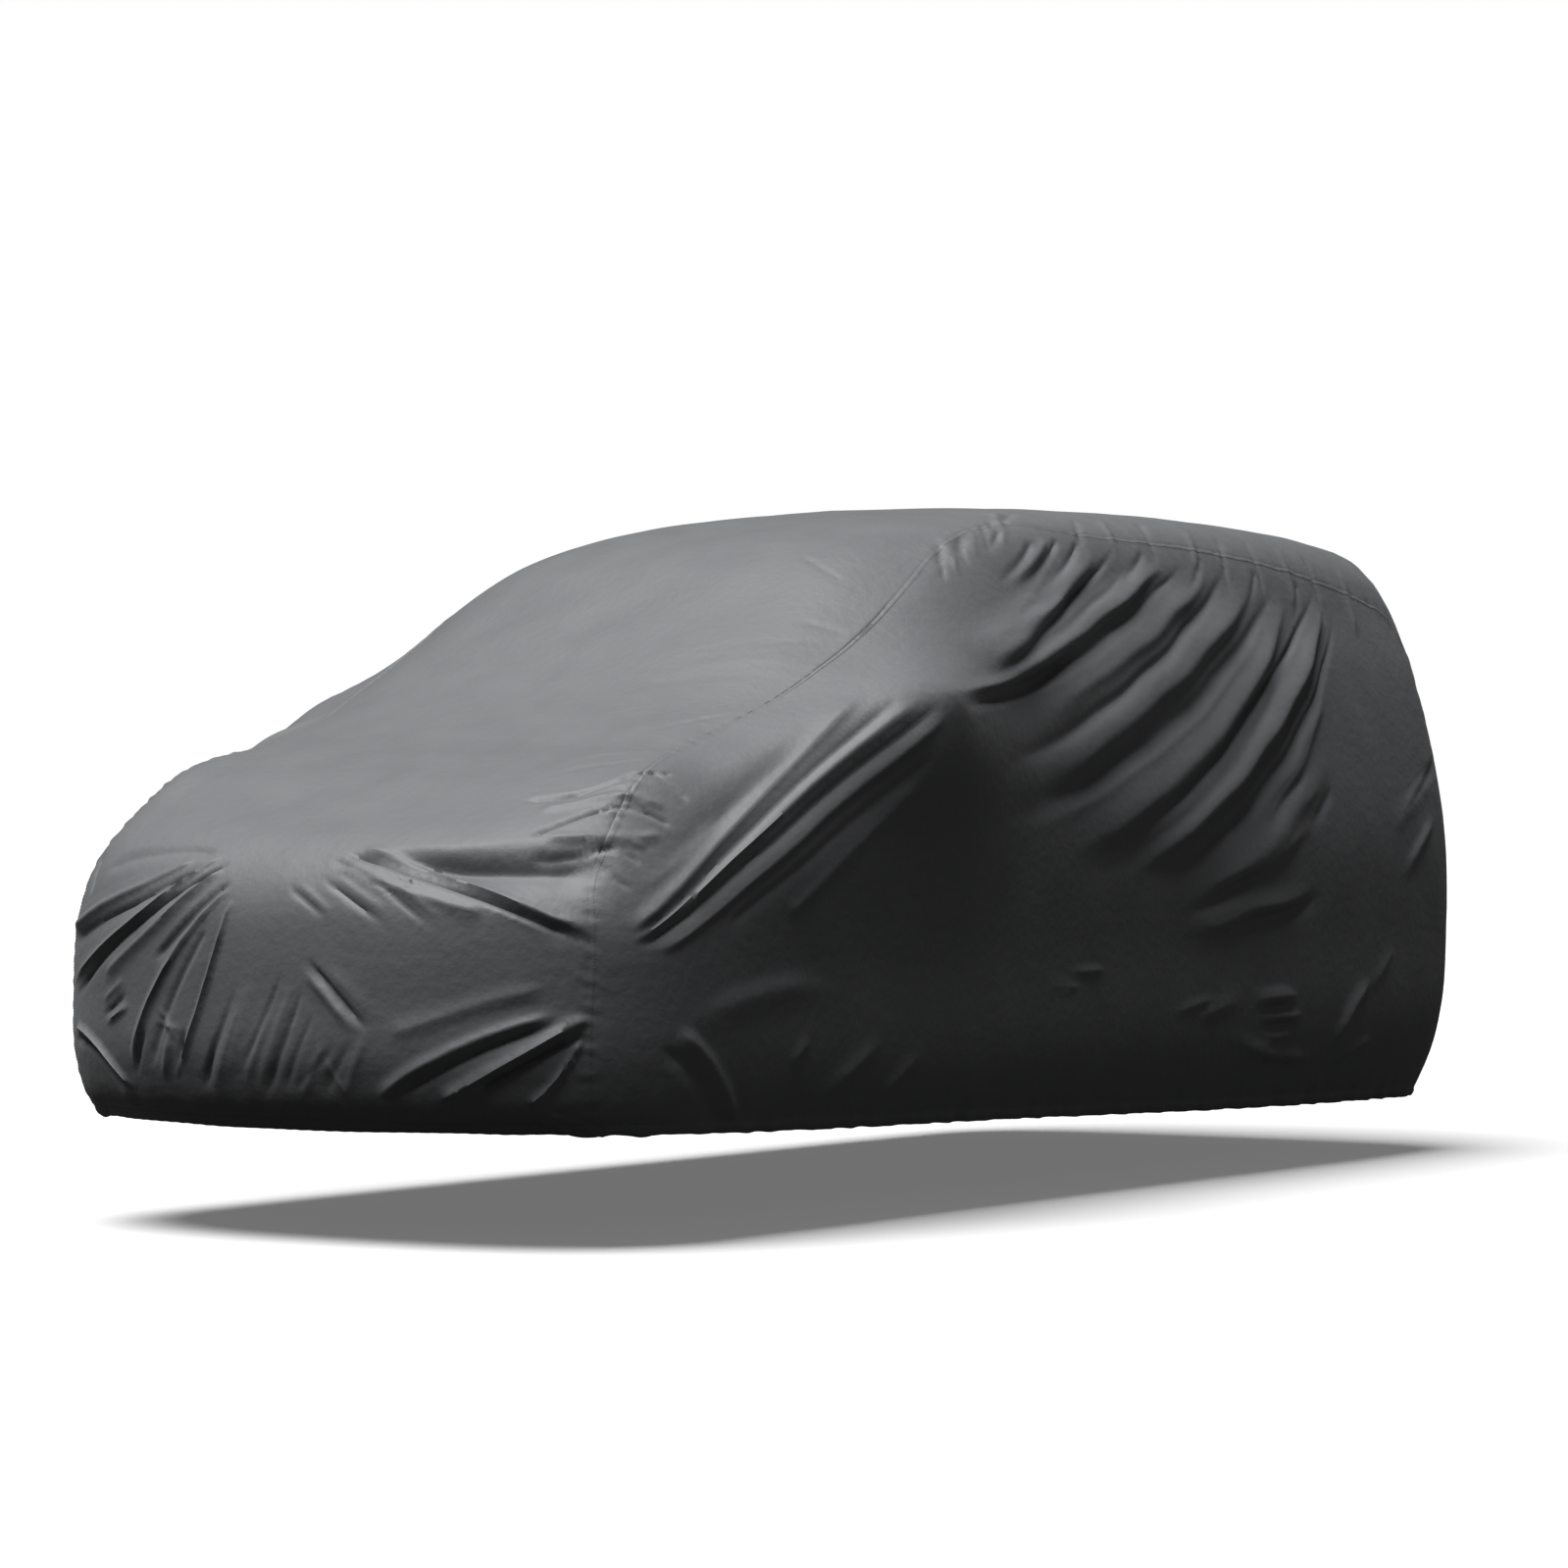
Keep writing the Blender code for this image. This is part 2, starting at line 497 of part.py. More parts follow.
def gathers(points, normals):
    """Waves above the hem, where the elastic draws it in."""
    x, y, z = points.T
    on_end = np.abs(normals[:, 1]) > math.sqrt(0.5)
    around = np.where(on_end, x, y)
    phase = around / GATHER_LENGTH * 2 * math.pi
    wave = np.sin(phase + GATHER_SWAY * np.sin(GATHER_SWAY_RATE * phase + 1))
    wave += GATHER_SECOND * np.sin(GATHER_SECOND_RATE * phase + 2)
    hem = np.where(on_end, HEM_FRONT, curve(HEM[:, 0], HEM[:, 1], y))
    fade = np.clip(1 - (z - hem) / GATHER_RISE, 0, 1)
    return GATHER_HEIGHT * wave * fade * fade


# ----------------------------------------------------------------------------- meshing

def inside_polygon(points, ring):
    inside = np.zeros(len(points), bool)
    x, y = points.T
    for (x0, y0), (x1, y1) in zip(ring, np.roll(ring, -1, axis=0)):
        crosses = (y0 > y) != (y1 > y)
        with np.errstate(divide="ignore", invalid="ignore"):
            inside ^= crosses & (x < (x1 - x0) * (y - y0) / (y1 - y0) + x0)
    return inside


def apart(points, others, distance):
    """The points that lie further than a distance from all of the others."""
    keep = np.ones(len(points), bool)
    for start in range(0, len(others), 400):
        gaps = np.linalg.norm(points[:, None] - others[None, start:start + 400], axis=2)
        keep &= (gaps > distance).all(1)
    return points[keep]


def rim(ring, step):
    return spaced(np.vstack([ring, ring[:1]]), step)


def fold_lines(folds, to_pattern, ring):
    """Each fold's crest and its two feet in the pattern, cut off short of the edges."""
    edge = rim(ring, FINE_STEP)
    lines = []
    for one in folds:
        crest = spaced(to_pattern(one["line"]), FOLD_STEP)
        run = np.gradient(crest, axis=0)
        left = np.stack([-run[:, 1], run[:, 0]], 1) / np.linalg.norm(run, axis=1)[:, None]
        feet = FOLD_FOOT * one["width"]
        for offset in (-feet, 0.0, feet) if abs(one["height"]) > BOLD else (0.0,):
            line = crest + offset * left
            keep = inside_polygon(line, ring)
            keep &= np.linalg.norm(line[:, None] - edge[None], axis=2).min(1) > CLOSE
            start = 0
            for k in range(len(line) + 1):
                if k == len(line) or not keep[k]:
                    if k - start > 1:
                        lines.append(line[start:k])
                    start = k + 1
    return lines


def grid_points(ring, fixed):
    low, high = ring.min(0), ring.max(0)
    rows = []
    for k, v in enumerate(np.arange(low[1], high[1], GRID_STEP * ROW_SPACING)):
        u = np.arange(low[0] + (k % 2) * GRID_STEP / 2, high[0], GRID_STEP)
        rows.append(columns(u, v))
    free = np.concatenate(rows)
    free = free[inside_polygon(free, ring)]
    return apart(free, fixed, GRID_STEP * GRID_CLEAR)


def triangles(ring, lines, free):
    count = len(ring)
    points = [tuple(p) for p in ring]
    edges = [(k, (k + 1) % count) for k in range(count)]
    for line in lines:
        first = len(points)
        points += [tuple(p) for p in line]
        edges += [(first + k, first + k + 1) for k in range(len(line) - 1)]
    points += [tuple(p) for p in free]
    out = delaunay_2d_cdt(points, edges, [list(range(count))], 1, 1e-5)
    verts = np.array([tuple(v) for v in out[0]])
    origin = np.full(len(verts), -1)
    for k, sources in enumerate(out[3]):
        ring_sources = [s for s in sources if s < count]
        if ring_sources:
            origin[k] = ring_sources[0]
    return verts, np.array([list(f) for f in out[2]]), origin


def panel(ring, folds, to_pattern, onto, place):
    """A panel's points and triangles: the ring first, then what the folds and the form need."""
    lines = fold_lines(folds, to_pattern, ring)
    fixed = [rim(ring, 3 * FINE_STEP)] + [spaced(line, 3 * FINE_STEP) for line in lines]
    free = grid_points(ring, np.concatenate(fixed))
    edge = rim(ring, FINE_STEP)
    for _ in range(REFINEMENTS):
        verts, faces, origin = triangles(ring, lines, free)
        spots = place(onto(verts))
        a, b, c = (verts[faces[:, k]] for k in range(3))
        tests = np.concatenate([(a + b + c) / 3, (a + b) / 2, (b + c) / 2, (c + a) / 2])
        a, b, c = (spots[faces[:, k]] for k in range(3))
        flat = np.concatenate([(a + b + c) / 3, (a + b) / 2, (b + c) / 2, (c + a) / 2])
        error = np.linalg.norm(place(onto(tests)) - flat, axis=1)
        worst = tests[np.argsort(-error)][: (error > FORM_ERROR).sum()]
        added = []
        for spot in apart(apart(worst, verts, CLOSE), edge, CLOSE):
            if all(math.dist(spot, other) > 2 * CLOSE for other in added):
                added.append(spot)
        if not added:
            break
        free = np.concatenate([free, np.array(added)])
    return triangles(ring, lines, free)


def facing_out(spots, faces, out):
    """The triangles turned so that they face away from the form."""
    a, b, c = (spots[faces[:, k]] for k in range(3))
    facing = (np.cross(b - a, c - a) * out[faces[:, 0]]).sum()
    return faces if facing > 0 else faces[:, ::-1]


def open_edges(faces):
    """The edges along a sheet's rim, each as its triangle runs through it."""
    found = {}
    for a, b, c in faces:
        for edge in ((a, b), (b, c), (c, a)):
            found[edge] = True
    return [(a, b) for a, b in found if (b, a) not in found]


def sheet_object(name, spots, normals, faces):
    """A closed sheet: the outer face, the same face one cloth further in, and its rim."""
    count = len(spots)
    points = np.concatenate([spots, spots - CLOTH * normals])
    skin = [tuple(face) for face in faces]
    skin += [(a + count, c + count, b + count) for a, b, c in faces]
    skin += [(b, a, a + count, b + count) for a, b in open_edges(faces)]
    mesh = bpy.data.meshes.new(name)
    mesh.from_pydata(points.tolist(), [], [tuple(int(k) for k in face) for face in skin])
    mesh.materials.append(bpy.data.materials["cover_cloth"])
    mesh.shade_smooth()
    mesh.set_sharp_from_angle(angle=SHARP_ANGLE)
    bpy.context.scene.collection.objects.link(bpy.data.objects.new(name, mesh))


def make_cloth_material():
    material = bpy.data.materials.new("cover_cloth")
    material.use_nodes = True
    surface = material.node_tree.nodes["Principled BSDF"]
    surface.inputs["Base Color"].default_value = CLOTH_COLOUR
    surface.inputs["Roughness"].default_value = CLOTH_ROUGHNESS
    surface.inputs["Metallic"].default_value = 0.0


def vertex_normals(spots, faces):
    a, b, c = (spots[faces[:, k]] for k in range(3))
    areas = np.cross(b - a, c - a)
    total = np.zeros_like(spots)
    for k in range(3):
        np.add.at(total, faces[:, k], areas)
    return total


def roof_rest():
    """The point on the underside of the roof that becomes the part's origin."""
    return top_at(np.zeros(1), REST_Y)[0] - np.array([0.0, 0.0, CLOTH])


def build():
    make_cloth_material()
    folds = all_folds()

    def place(points):
        normals = normals_of(points)
        return points + raised(points, normals, folds)[:, None] * normals

    left, right = seam_line(1), seam_line(-1)
    hems = hem_lines(left, right)
    rings = {
        "centre_panel": np.concatenate([right[::-1], hems["front"], left, hems["back"][::-1]]),
        "side_panel_left": np.concatenate([left, hems[1][::-1]]),
        "side_panel_right": np.concatenate([right, hems[-1][::-1]]),
    }
    sheets = {}
    for name, ring in rings.items():
        if name == "centre_panel":
            to_pattern, onto = strip_pattern, strip_onto_form
            left_from = len(right) + len(hems["front"])
            seam_of = {len(right) - 1 - k: (-1, k) for k in range(len(right))}
            seam_of.update({left_from + k: (1, k) for k in range(len(left))})
        else:
            hand = 1 if name == "side_panel_left" else -1
            to_pattern = side_pattern
            onto = functools.partial(side_onto_form, hand=hand)
            seam_of = {k: (hand, k) for k in range(len(left if hand == 1 else right))}
        verts, faces, origin = panel(to_pattern(ring), folds, to_pattern, onto, place)
        bare = onto(verts)
        bare[origin >= 0] = ring[origin[origin >= 0]]
        spots = place(bare)
        faces = facing_out(spots, faces, normals_of(bare))
        seam = {v: seam_of[o] for v, o in enumerate(origin) if o in seam_of}
        sheets[name] = {
            "spots": spots, "faces": faces, "seam": seam, "normals": vertex_normals(spots, faces),
        }

    shared = collections.defaultdict(lambda: np.zeros(3))
    for sheet in sheets.values():
        for vertex, key in sheet["seam"].items():
            shared[key] += sheet["normals"][vertex]
    seams = {1: place(left), -1: place(right)}
    for name, sheet in sheets.items():
        normals = sheet["normals"]
        for vertex, key in sheet["seam"].items():
            normals[vertex] = shared[key]
        normals /= np.linalg.norm(normals, axis=1)[:, None]
        for vertex, (hand, k) in sheet["seam"].items():
            line = seams[hand]
            run = line[min(k + 1, len(line) - 1)] - line[max(k - 1, 0)]
            inwards = np.cross(normals[vertex], run) * hand
            inwards /= np.linalg.norm(inwards)
            way = 1 if name == "centre_panel" else -1
            sheet["spots"][vertex] += way * SEAM_GAP / 2 * inwards
        sheet_object(name, sheet["spots"] - roof_rest(), normals, sheet["faces"])


if __name__ == "__main__":
    clear_scene()
    build()
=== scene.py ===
import functools
import math
import random

import bpy
import numpy as np
from mathutils import Matrix, Vector
from mathutils.geometry import delaunay_2d_cdt
from mathutils.kdtree import KDTree


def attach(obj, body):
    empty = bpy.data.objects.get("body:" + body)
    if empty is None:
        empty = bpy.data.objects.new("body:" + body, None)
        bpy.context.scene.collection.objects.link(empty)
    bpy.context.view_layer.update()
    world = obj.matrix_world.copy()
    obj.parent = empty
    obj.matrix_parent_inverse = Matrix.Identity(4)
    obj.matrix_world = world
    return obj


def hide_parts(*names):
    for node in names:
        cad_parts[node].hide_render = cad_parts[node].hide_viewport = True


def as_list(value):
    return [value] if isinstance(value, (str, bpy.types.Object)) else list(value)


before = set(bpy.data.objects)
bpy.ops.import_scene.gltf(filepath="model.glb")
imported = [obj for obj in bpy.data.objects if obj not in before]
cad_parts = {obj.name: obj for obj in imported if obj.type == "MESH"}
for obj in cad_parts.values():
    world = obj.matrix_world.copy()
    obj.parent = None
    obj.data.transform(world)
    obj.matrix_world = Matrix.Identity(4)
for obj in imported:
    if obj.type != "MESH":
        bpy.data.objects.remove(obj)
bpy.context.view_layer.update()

# The form that the cover is stretched over. In these tables z is the height above the ground, y
# grows to the back from a line 0.67 m behind the foremost point, and x is half the width. The
# finished pieces move so that the rest under the roof lies at the origin, as in the frame.
form = {
    "topX": np.array([0.0, 0.30, 0.50, 0.62, 0.74, 0.90]),
    "top": np.array([       # y, then z at each topX
        [-0.80, 0.700, 0.690, 0.670, 0.640, 0.590, 0.480],
        [-0.62, 0.780, 0.772, 0.750, 0.720, 0.650, 0.520],
        [-0.42, 0.865, 0.860, 0.845, 0.815, 0.700, 0.560],
        [-0.23, 0.950, 0.945, 0.940, 0.925, 0.800, 0.650],
        [0.00, 1.030, 1.025, 1.015, 0.985, 0.930, 0.800],
        [0.20, 1.115, 1.110, 1.090, 1.060, 1.030, 0.960],
        [0.47, 1.280, 1.275, 1.245, 1.195, 1.150, 1.135],
        [0.70, 1.430, 1.420, 1.380, 1.315, 1.230, 1.150],
        [0.95, 1.510, 1.500, 1.465, 1.410, 1.310, 1.200],
        [1.25, 1.550, 1.540, 1.515, 1.460, 1.350, 1.200],
        [1.70, 1.575, 1.565, 1.535, 1.480, 1.350, 1.200],
        [2.30, 1.575, 1.568, 1.535, 1.475, 1.340, 1.200],
        [2.80, 1.550, 1.542, 1.508, 1.445, 1.300, 1.150],
        [3.10, 1.510, 1.500, 1.465, 1.400, 1.260, 1.100],
        [3.40, 1.440, 1.430, 1.395, 1.340, 1.200, 1.050],
    ]),
    "rightEdge": np.array([  # y, how much higher the right edge of the top lies
        [-0.70, 0.010], [-0.42, 0.020], [-0.15, 0.020], [0.05, 0.008], [0.25, -0.010],
        [0.50, -0.014], [0.75, -0.004], [1.00, -0.012], [1.40, -0.008], [1.90, 0.000],
    ]),
    "rightEdgeX": (0.10, 0.60),
    "sideZ": np.array([0.14, 0.30, 0.55, 0.80, 1.00, 1.20, 1.40, 1.60]),
    "side": np.array([      # y, then x at each sideZ
        [-0.60, 0.675, 0.724, 0.746, 0.720, 0.700, 0.650, 0.600, 0.550],
        [-0.30, 0.715, 0.770, 0.785, 0.760, 0.720, 0.680, 0.640, 0.600],
        [0.00, 0.735, 0.785, 0.800, 0.805, 0.760, 0.720, 0.680, 0.640],
        [0.47, 0.745, 0.790, 0.805, 0.820, 0.835, 0.790, 0.730, 0.680],
        [0.80, 0.745, 0.790, 0.805, 0.815, 0.810, 0.760, 0.680, 0.620],
        [1.20, 0.745, 0.790, 0.805, 0.810, 0.785, 0.720, 0.630, 0.580],
        [1.80, 0.745, 0.790, 0.805, 0.805, 0.770, 0.710, 0.630, 0.570],
        [2.40, 0.740, 0.790, 0.805, 0.800, 0.760, 0.700, 0.620, 0.560],
        [2.80, 0.725, 0.780, 0.795, 0.785, 0.745, 0.685, 0.600, 0.540],
        [3.20, 0.685, 0.740, 0.760, 0.750, 0.710, 0.650, 0.570, 0.510],
    ]),
    "front": np.array([     # z, y in the middle
        [0.10, -0.480], [0.20, -0.560], [0.27, -0.640], [0.34, -0.668], [0.50, -0.674],
        [0.68, -0.655], [0.78, -0.630], [0.90, -0.560], [1.10, -0.400],
    ]),
    "frontPlan": np.array([  # x, how far the front falls back there
        [0.00, 0.000], [0.25, 0.012], [0.45, 0.050], [0.60, 0.115], [0.70, 0.185],
        [0.78, 0.270], [0.90, 0.450],
    ]),
    "back": np.array([
        [0.10, 2.990], [0.20, 3.050], [0.35, 3.100], [0.60, 3.130], [0.90, 3.130],
        [1.15, 3.110], [1.35, 3.095], [1.50, 3.075], [1.60, 3.060],
    ]),
    "backPlan": np.array([
        [0.00, 0.000], [0.30, 0.010], [0.50, 0.030], [0.65, 0.068], [0.74, 0.112],
        [0.82, 0.190], [0.90, 0.310],
    ]),
    "topRound": 0.10, "frontRound": 0.12, "backRound": 0.14,
    "inside": {"top": 0.60, "front": -0.30, "back": 2.70, "side": 0.20},
    "rayReach": 1.6, "halvings": 5, "closings": 5, "leastFall": 1e-12, "slopeStep": 0.002,
}
# Each ear is a tent of cloth over a point that stands out of the side: y, z, how far out.
ears = {
    "left": (0.53, 1.105, 0.060), "right": (0.52, 1.075, 0.038),
    "front": 0.62, "behind": 0.50, "up": 0.22, "down": 0.60,
    "blunt": 0.05, "hollow": 1.7, "lift": 0.3,
}


def curveAt(places, values, at):
    at = np.asarray(at, float)
    row = np.clip(np.searchsorted(places, at, side="right") - 1, 0, len(places) - 2)
    step = places[row + 1] - places[row]
    u = np.clip((at - places[row]) / step, 0, 1)
    slopes = np.gradient(values, places, axis=0)
    if values.ndim == 1:
        low, high = (row,), (row + 1,)
    else:
        column = np.arange(values.shape[1])
        low, high = (row, column), (row + 1, column)
    rise = u * u * (3 - 2 * u)
    return (
        values[low] * (1 - rise) + values[high] * rise
        + slopes[low] * step * u * (1 - u) ** 2 - slopes[high] * step * u * u * (1 - u)
    )


def tableAt(table, at):
    return curveAt(table[:, 0], table[:, 1], at)


def sectionsAt(rows, levels, along, across):
    columns = np.array([curveAt(rows[:, 0], rows[:, k + 1], along) for k in range(len(levels))])
    return curveAt(levels, columns, across)


def smoothMax(a, b, softness):
    near = np.maximum(softness - np.abs(a - b), 0) / softness
    return np.maximum(a, b) + near * near * softness / 4


def earAt(y, z, place):
    atY, atZ, out = place
    dy, dz = y - atY, z - atZ
    reachY = np.where(dy < 0, ears["front"], ears["behind"])
    reachZ = np.where(dz < 0, ears["down"], ears["up"])
    away = np.sqrt((dy / reachY) ** 2 + (dz / reachZ) ** 2 + ears["blunt"] ** 2)
    return out * np.clip(1 - away, 0, 1) ** ears["hollow"]


def outside(points):
    x, y, z = np.abs(points[:, 0]), points[:, 1], points[:, 2]
    standsOut = np.where(points[:, 0] > 0, earAt(y, z, ears["left"]), earAt(y, z, ears["right"]))
    right = np.interp(-points[:, 0], form["rightEdgeX"], [0, 1])
    top = z - sectionsAt(form["top"], form["topX"], y, x) - ears["lift"] * standsOut
    top = top - right * tableAt(form["rightEdge"], y)
    side = x - sectionsAt(form["side"], form["sideZ"], y, z) - standsOut
    front = tableAt(form["front"], z) + tableAt(form["frontPlan"], x) - y
    back = y - tableAt(form["back"], z) + tableAt(form["backPlan"], x)
    whole = smoothMax(top, side, form["topRound"])
    whole = smoothMax(whole, front, form["frontRound"])
    return smoothMax(whole, back, form["backRound"])


def meet(starts, ways):
    # a few halvings find the cloth roughly, then false position closes in on it
    low, high = np.zeros(len(starts)), np.full(len(starts), form["rayReach"])
    for _ in range(form["halvings"]):
        middle = (low + high) / 2
        out = outside(starts + middle[:, None] * ways) > 0
        high = np.where(out, middle, high)
        low = np.where(out, low, middle)
    under = outside(starts + low[:, None] * ways)
    over = outside(starts + high[:, None] * ways)
    for _ in range(form["closings"]):
        middle = low + (high - low) * under / np.minimum(under - over, -form["leastFall"])
        value = outside(starts + middle[:, None] * ways)
        out = value > 0
        under = np.where(out, under / 2, value)
        over = np.where(out, value, over / 2)
        high = np.where(out, middle, high)
        low = np.where(out, low, middle)
    return starts + middle[:, None] * ways


def normalsOf(points):
    step = form["slopeStep"]
    slopes = [outside(points + step * axis) - outside(points - step * axis) for axis in np.eye(3)]
    slopes = np.stack(slopes, 1)
    return slopes / np.linalg.norm(slopes, axis=1)[:, None]


def columns(*values):
    return np.stack(np.broadcast_arrays(*values), 1).astype(float)


def topAt(x, y):
    return meet(columns(x, y, form["inside"]["top"]), columns(0 * x, 0, 1))


def frontAt(x, z):
    return meet(columns(x, form["inside"]["front"], z), columns(0 * x, -1, 0))


def backAt(x, z):
    return meet(columns(x, form["inside"]["back"], z), columns(0 * x, 1, 0))


def sideAt(y, z, hand):
    return meet(columns(hand * form["inside"]["side"], y, z), columns(hand, 0 * y, 0))


# The flat patterns: the strip's is (x, length along it), a side panel's is (y, height).
pattern = {
    "frontTurn": (-0.38, 0.62), "backTurn": (2.70, 1.05), "turnLength": 0.34,
    "frontPart": 1.0, "backPart": 2.0,      # y where the front ends and where the back begins
    "sideX": 0.42, "sideTurnLength": 0.45,
    "sideTurn": np.array([
        [-0.60, 0.42], [-0.42, 0.50], [-0.25, 0.70], [0.00, 0.76], [0.47, 0.93], [0.70, 1.03],
        [0.95, 1.13], [1.25, 1.20], [1.90, 1.18], [2.95, 1.08], [3.20, 1.02],
    ]),
}
pattern["topLength"] = pattern["backTurn"][0] - pattern["frontTurn"][0]
quarter = math.pi / 2


def stripOntoForm(spots):
    x, along = spots[:, 0], spots[:, 1]
    (frontY, frontZ), (_, backZ) = pattern["frontTurn"], pattern["backTurn"]
    turn, top = pattern["turnLength"], pattern["topLength"]
    frontAngle = np.clip(along / turn, 0, 1) * quarter
    backAngle = np.clip((along - turn - top) / turn, 0, 1) * quarter
    over = np.clip(along - turn, 0, top)
    z = frontZ + (backZ - frontZ) * over / top
    z = z + np.minimum(along, 0) - np.maximum(along - top - 2 * turn, 0)
    wayY = np.where(along < turn, -np.cos(frontAngle), np.sin(backAngle))
    wayZ = np.where(along < turn, np.sin(frontAngle), np.cos(backAngle))
    return meet(columns(x, frontY + over, z), columns(0, wayY, wayZ))


def stripPattern(points):
    x, y, z = points.T
    (frontY, frontZ), (backY, backZ) = pattern["frontTurn"], pattern["backTurn"]
    turn, top = pattern["turnLength"], pattern["topLength"]
    frontAngle = np.arctan2(z - frontZ, frontY - y)
    backAngle = np.arctan2(y - backY, z - backZ)
    along = np.where(y < frontY, frontAngle / quarter * turn, turn + y - frontY)
    along = np.where((z < frontZ) & (y < pattern["frontPart"]), z - frontZ, along)
    along = np.where(y > backY, turn + top + backAngle / quarter * turn, along)
    along = np.where((z < backZ) & (y > pattern["backPart"]), top + 2 * turn + backZ - z, along)
    return columns(x, along)


def sideOntoForm(spots, hand):
    y, height = spots[:, 0], spots[:, 1]
    turn = tableAt(pattern["sideTurn"], y)
    angle = np.clip((height - turn) / pattern["sideTurnLength"], 0, 1) * quarter
    starts = columns(hand * pattern["sideX"], y, np.minimum(height, turn))
    return meet(starts, columns(hand * np.cos(angle), 0, np.sin(angle)))


def sidePattern(points):
    x, y, z = points.T
    turn = tableAt(pattern["sideTurn"], y)
    angle = np.arctan2(z - turn, np.abs(x) - pattern["sideX"])
    fan = turn + angle / quarter * pattern["sideTurnLength"]
    return columns(y, np.where(z < turn, z, fan))


# Seams and hem
seam = {
    "up": np.array([        # z, x: up the front corner
        [0.226, 0.655], [0.350, 0.672], [0.500, 0.680], [0.620, 0.678], [0.740, 0.655],
    ]),
    "along": np.array([     # y, x: along the edge of the top
        [-0.340, 0.630], [-0.230, 0.605], [0.000, 0.565], [0.200, 0.590], [0.330, 0.612],
        [0.470, 0.620], [0.740, 0.600], [0.930, 0.560], [1.220, 0.520], [1.500, 0.560],
        [1.950, 0.580], [2.300, 0.590], [2.600, 0.600], [2.900, 0.610],
    ]),
    "down": np.array([      # z, x: down the back corner
        [1.200, 0.645], [0.900, 0.695], [0.600, 0.710], [0.350, 0.700], [0.134, 0.655],
    ]),
    "roughStep": 0.030, "smoothings": 3, "fine": 30,
}
hem = {
    "side": np.array([      # y, z
        [-0.60, 0.226], [-0.30, 0.222], [0.00, 0.212], [0.35, 0.202], [0.90, 0.188],
        [1.40, 0.172], [1.87, 0.158], [2.30, 0.148], [2.90, 0.138], [3.20, 0.132],
    ]),
    "front": 0.226, "back": 0.148, "corner": (0.40, 0.65),
}
sheet = {
    "thickness": 0.0014, "edgeStep": 0.0060, "sharp": 60, "weld": 1e-7, "leastRun": 1e-9,
    # spacing of points in sharply folded cloth; smoother cloth has two or four steps
    "steps": {"stripCloth": 0.0060, "leftCloth": 0.0064, "rightCloth": 0.0070},
    "fineBend": 0.0036, "mediumBend": 0.00070,
    "restY": 1.70, "solidCloth": 0.002,
}


def lengthAlong(line):
    runs = np.linalg.norm(np.diff(line, axis=0), axis=1)
    return np.concatenate([[0], np.cumsum(runs)])


def spaced(points, step, smooth=False):
    reached = lengthAlong(points)
    places = np.linspace(0, reached[-1], max(2, round(reached[-1] / step) + 1))
    if smooth:
        return np.stack([curveAt(reached, column, places) for column in points.T], 1)
    return np.stack([np.interp(places, reached, column) for column in points.T], 1)


def leftOf(ahead):
    # the way to the left of a line on the pattern
    length = np.maximum(np.linalg.norm(ahead, axis=1), sheet["leastRun"])
    return np.stack([-ahead[:, 1], ahead[:, 0]], 1) / length[:, None]


def boxAround(line, points, reach):
    # which points lie in the box around a line
    inside = ((points > line.min(0) - reach) & (points < line.max(0) + reach)).all(1)
    return np.flatnonzero(inside)


def seamLine(hand):
    up, along, down = seam["up"], seam["along"], seam["down"]
    upZ = np.linspace(up[0, 0], up[-1, 0], seam["fine"])
    alongY = np.linspace(along[0, 0], along[-1, 0], 4 * seam["fine"])
    downZ = np.linspace(down[0, 0], down[-1, 0], seam["fine"])
    rough = spaced(np.concatenate([
        frontAt(hand * tableAt(up, upZ), upZ),
        topAt(hand * tableAt(along, alongY), alongY),
        backAt(hand * tableAt(down[::-1], downZ), downZ),
    ]), seam["roughStep"])
    for _ in range(seam["smoothings"]):
        rough[1:-1] = (rough[:-2] + 2 * rough[1:-1] + rough[2:]) / 4
    line = spaced(rough, sheet["edgeStep"], smooth=True)
    return sideOntoForm(sidePattern(line), hand)


def hemLines(left, right):
    lines = {}
    for name, end, onto in (("front", 0, frontAt), ("back", -1, backAt)):
        count = round((left[end, 0] - right[end, 0]) / sheet["edgeStep"])
        x = np.linspace(right[end, 0], left[end, 0], count + 1)[1:-1]
        height = np.interp(np.abs(x), hem["corner"], [hem[name], left[end, 2]])
        lines[name] = onto(x, height)
    for hand, line in ((1, left), (-1, right)):
        count = round((line[-1, 1] - line[0, 1]) / sheet["edgeStep"])
        y = np.linspace(line[0, 1], line[-1, 1], count + 1)[1:-1]
        lines[hand] = sideOntoForm(columns(y, tableAt(hem["side"], y)), hand)
    return lines


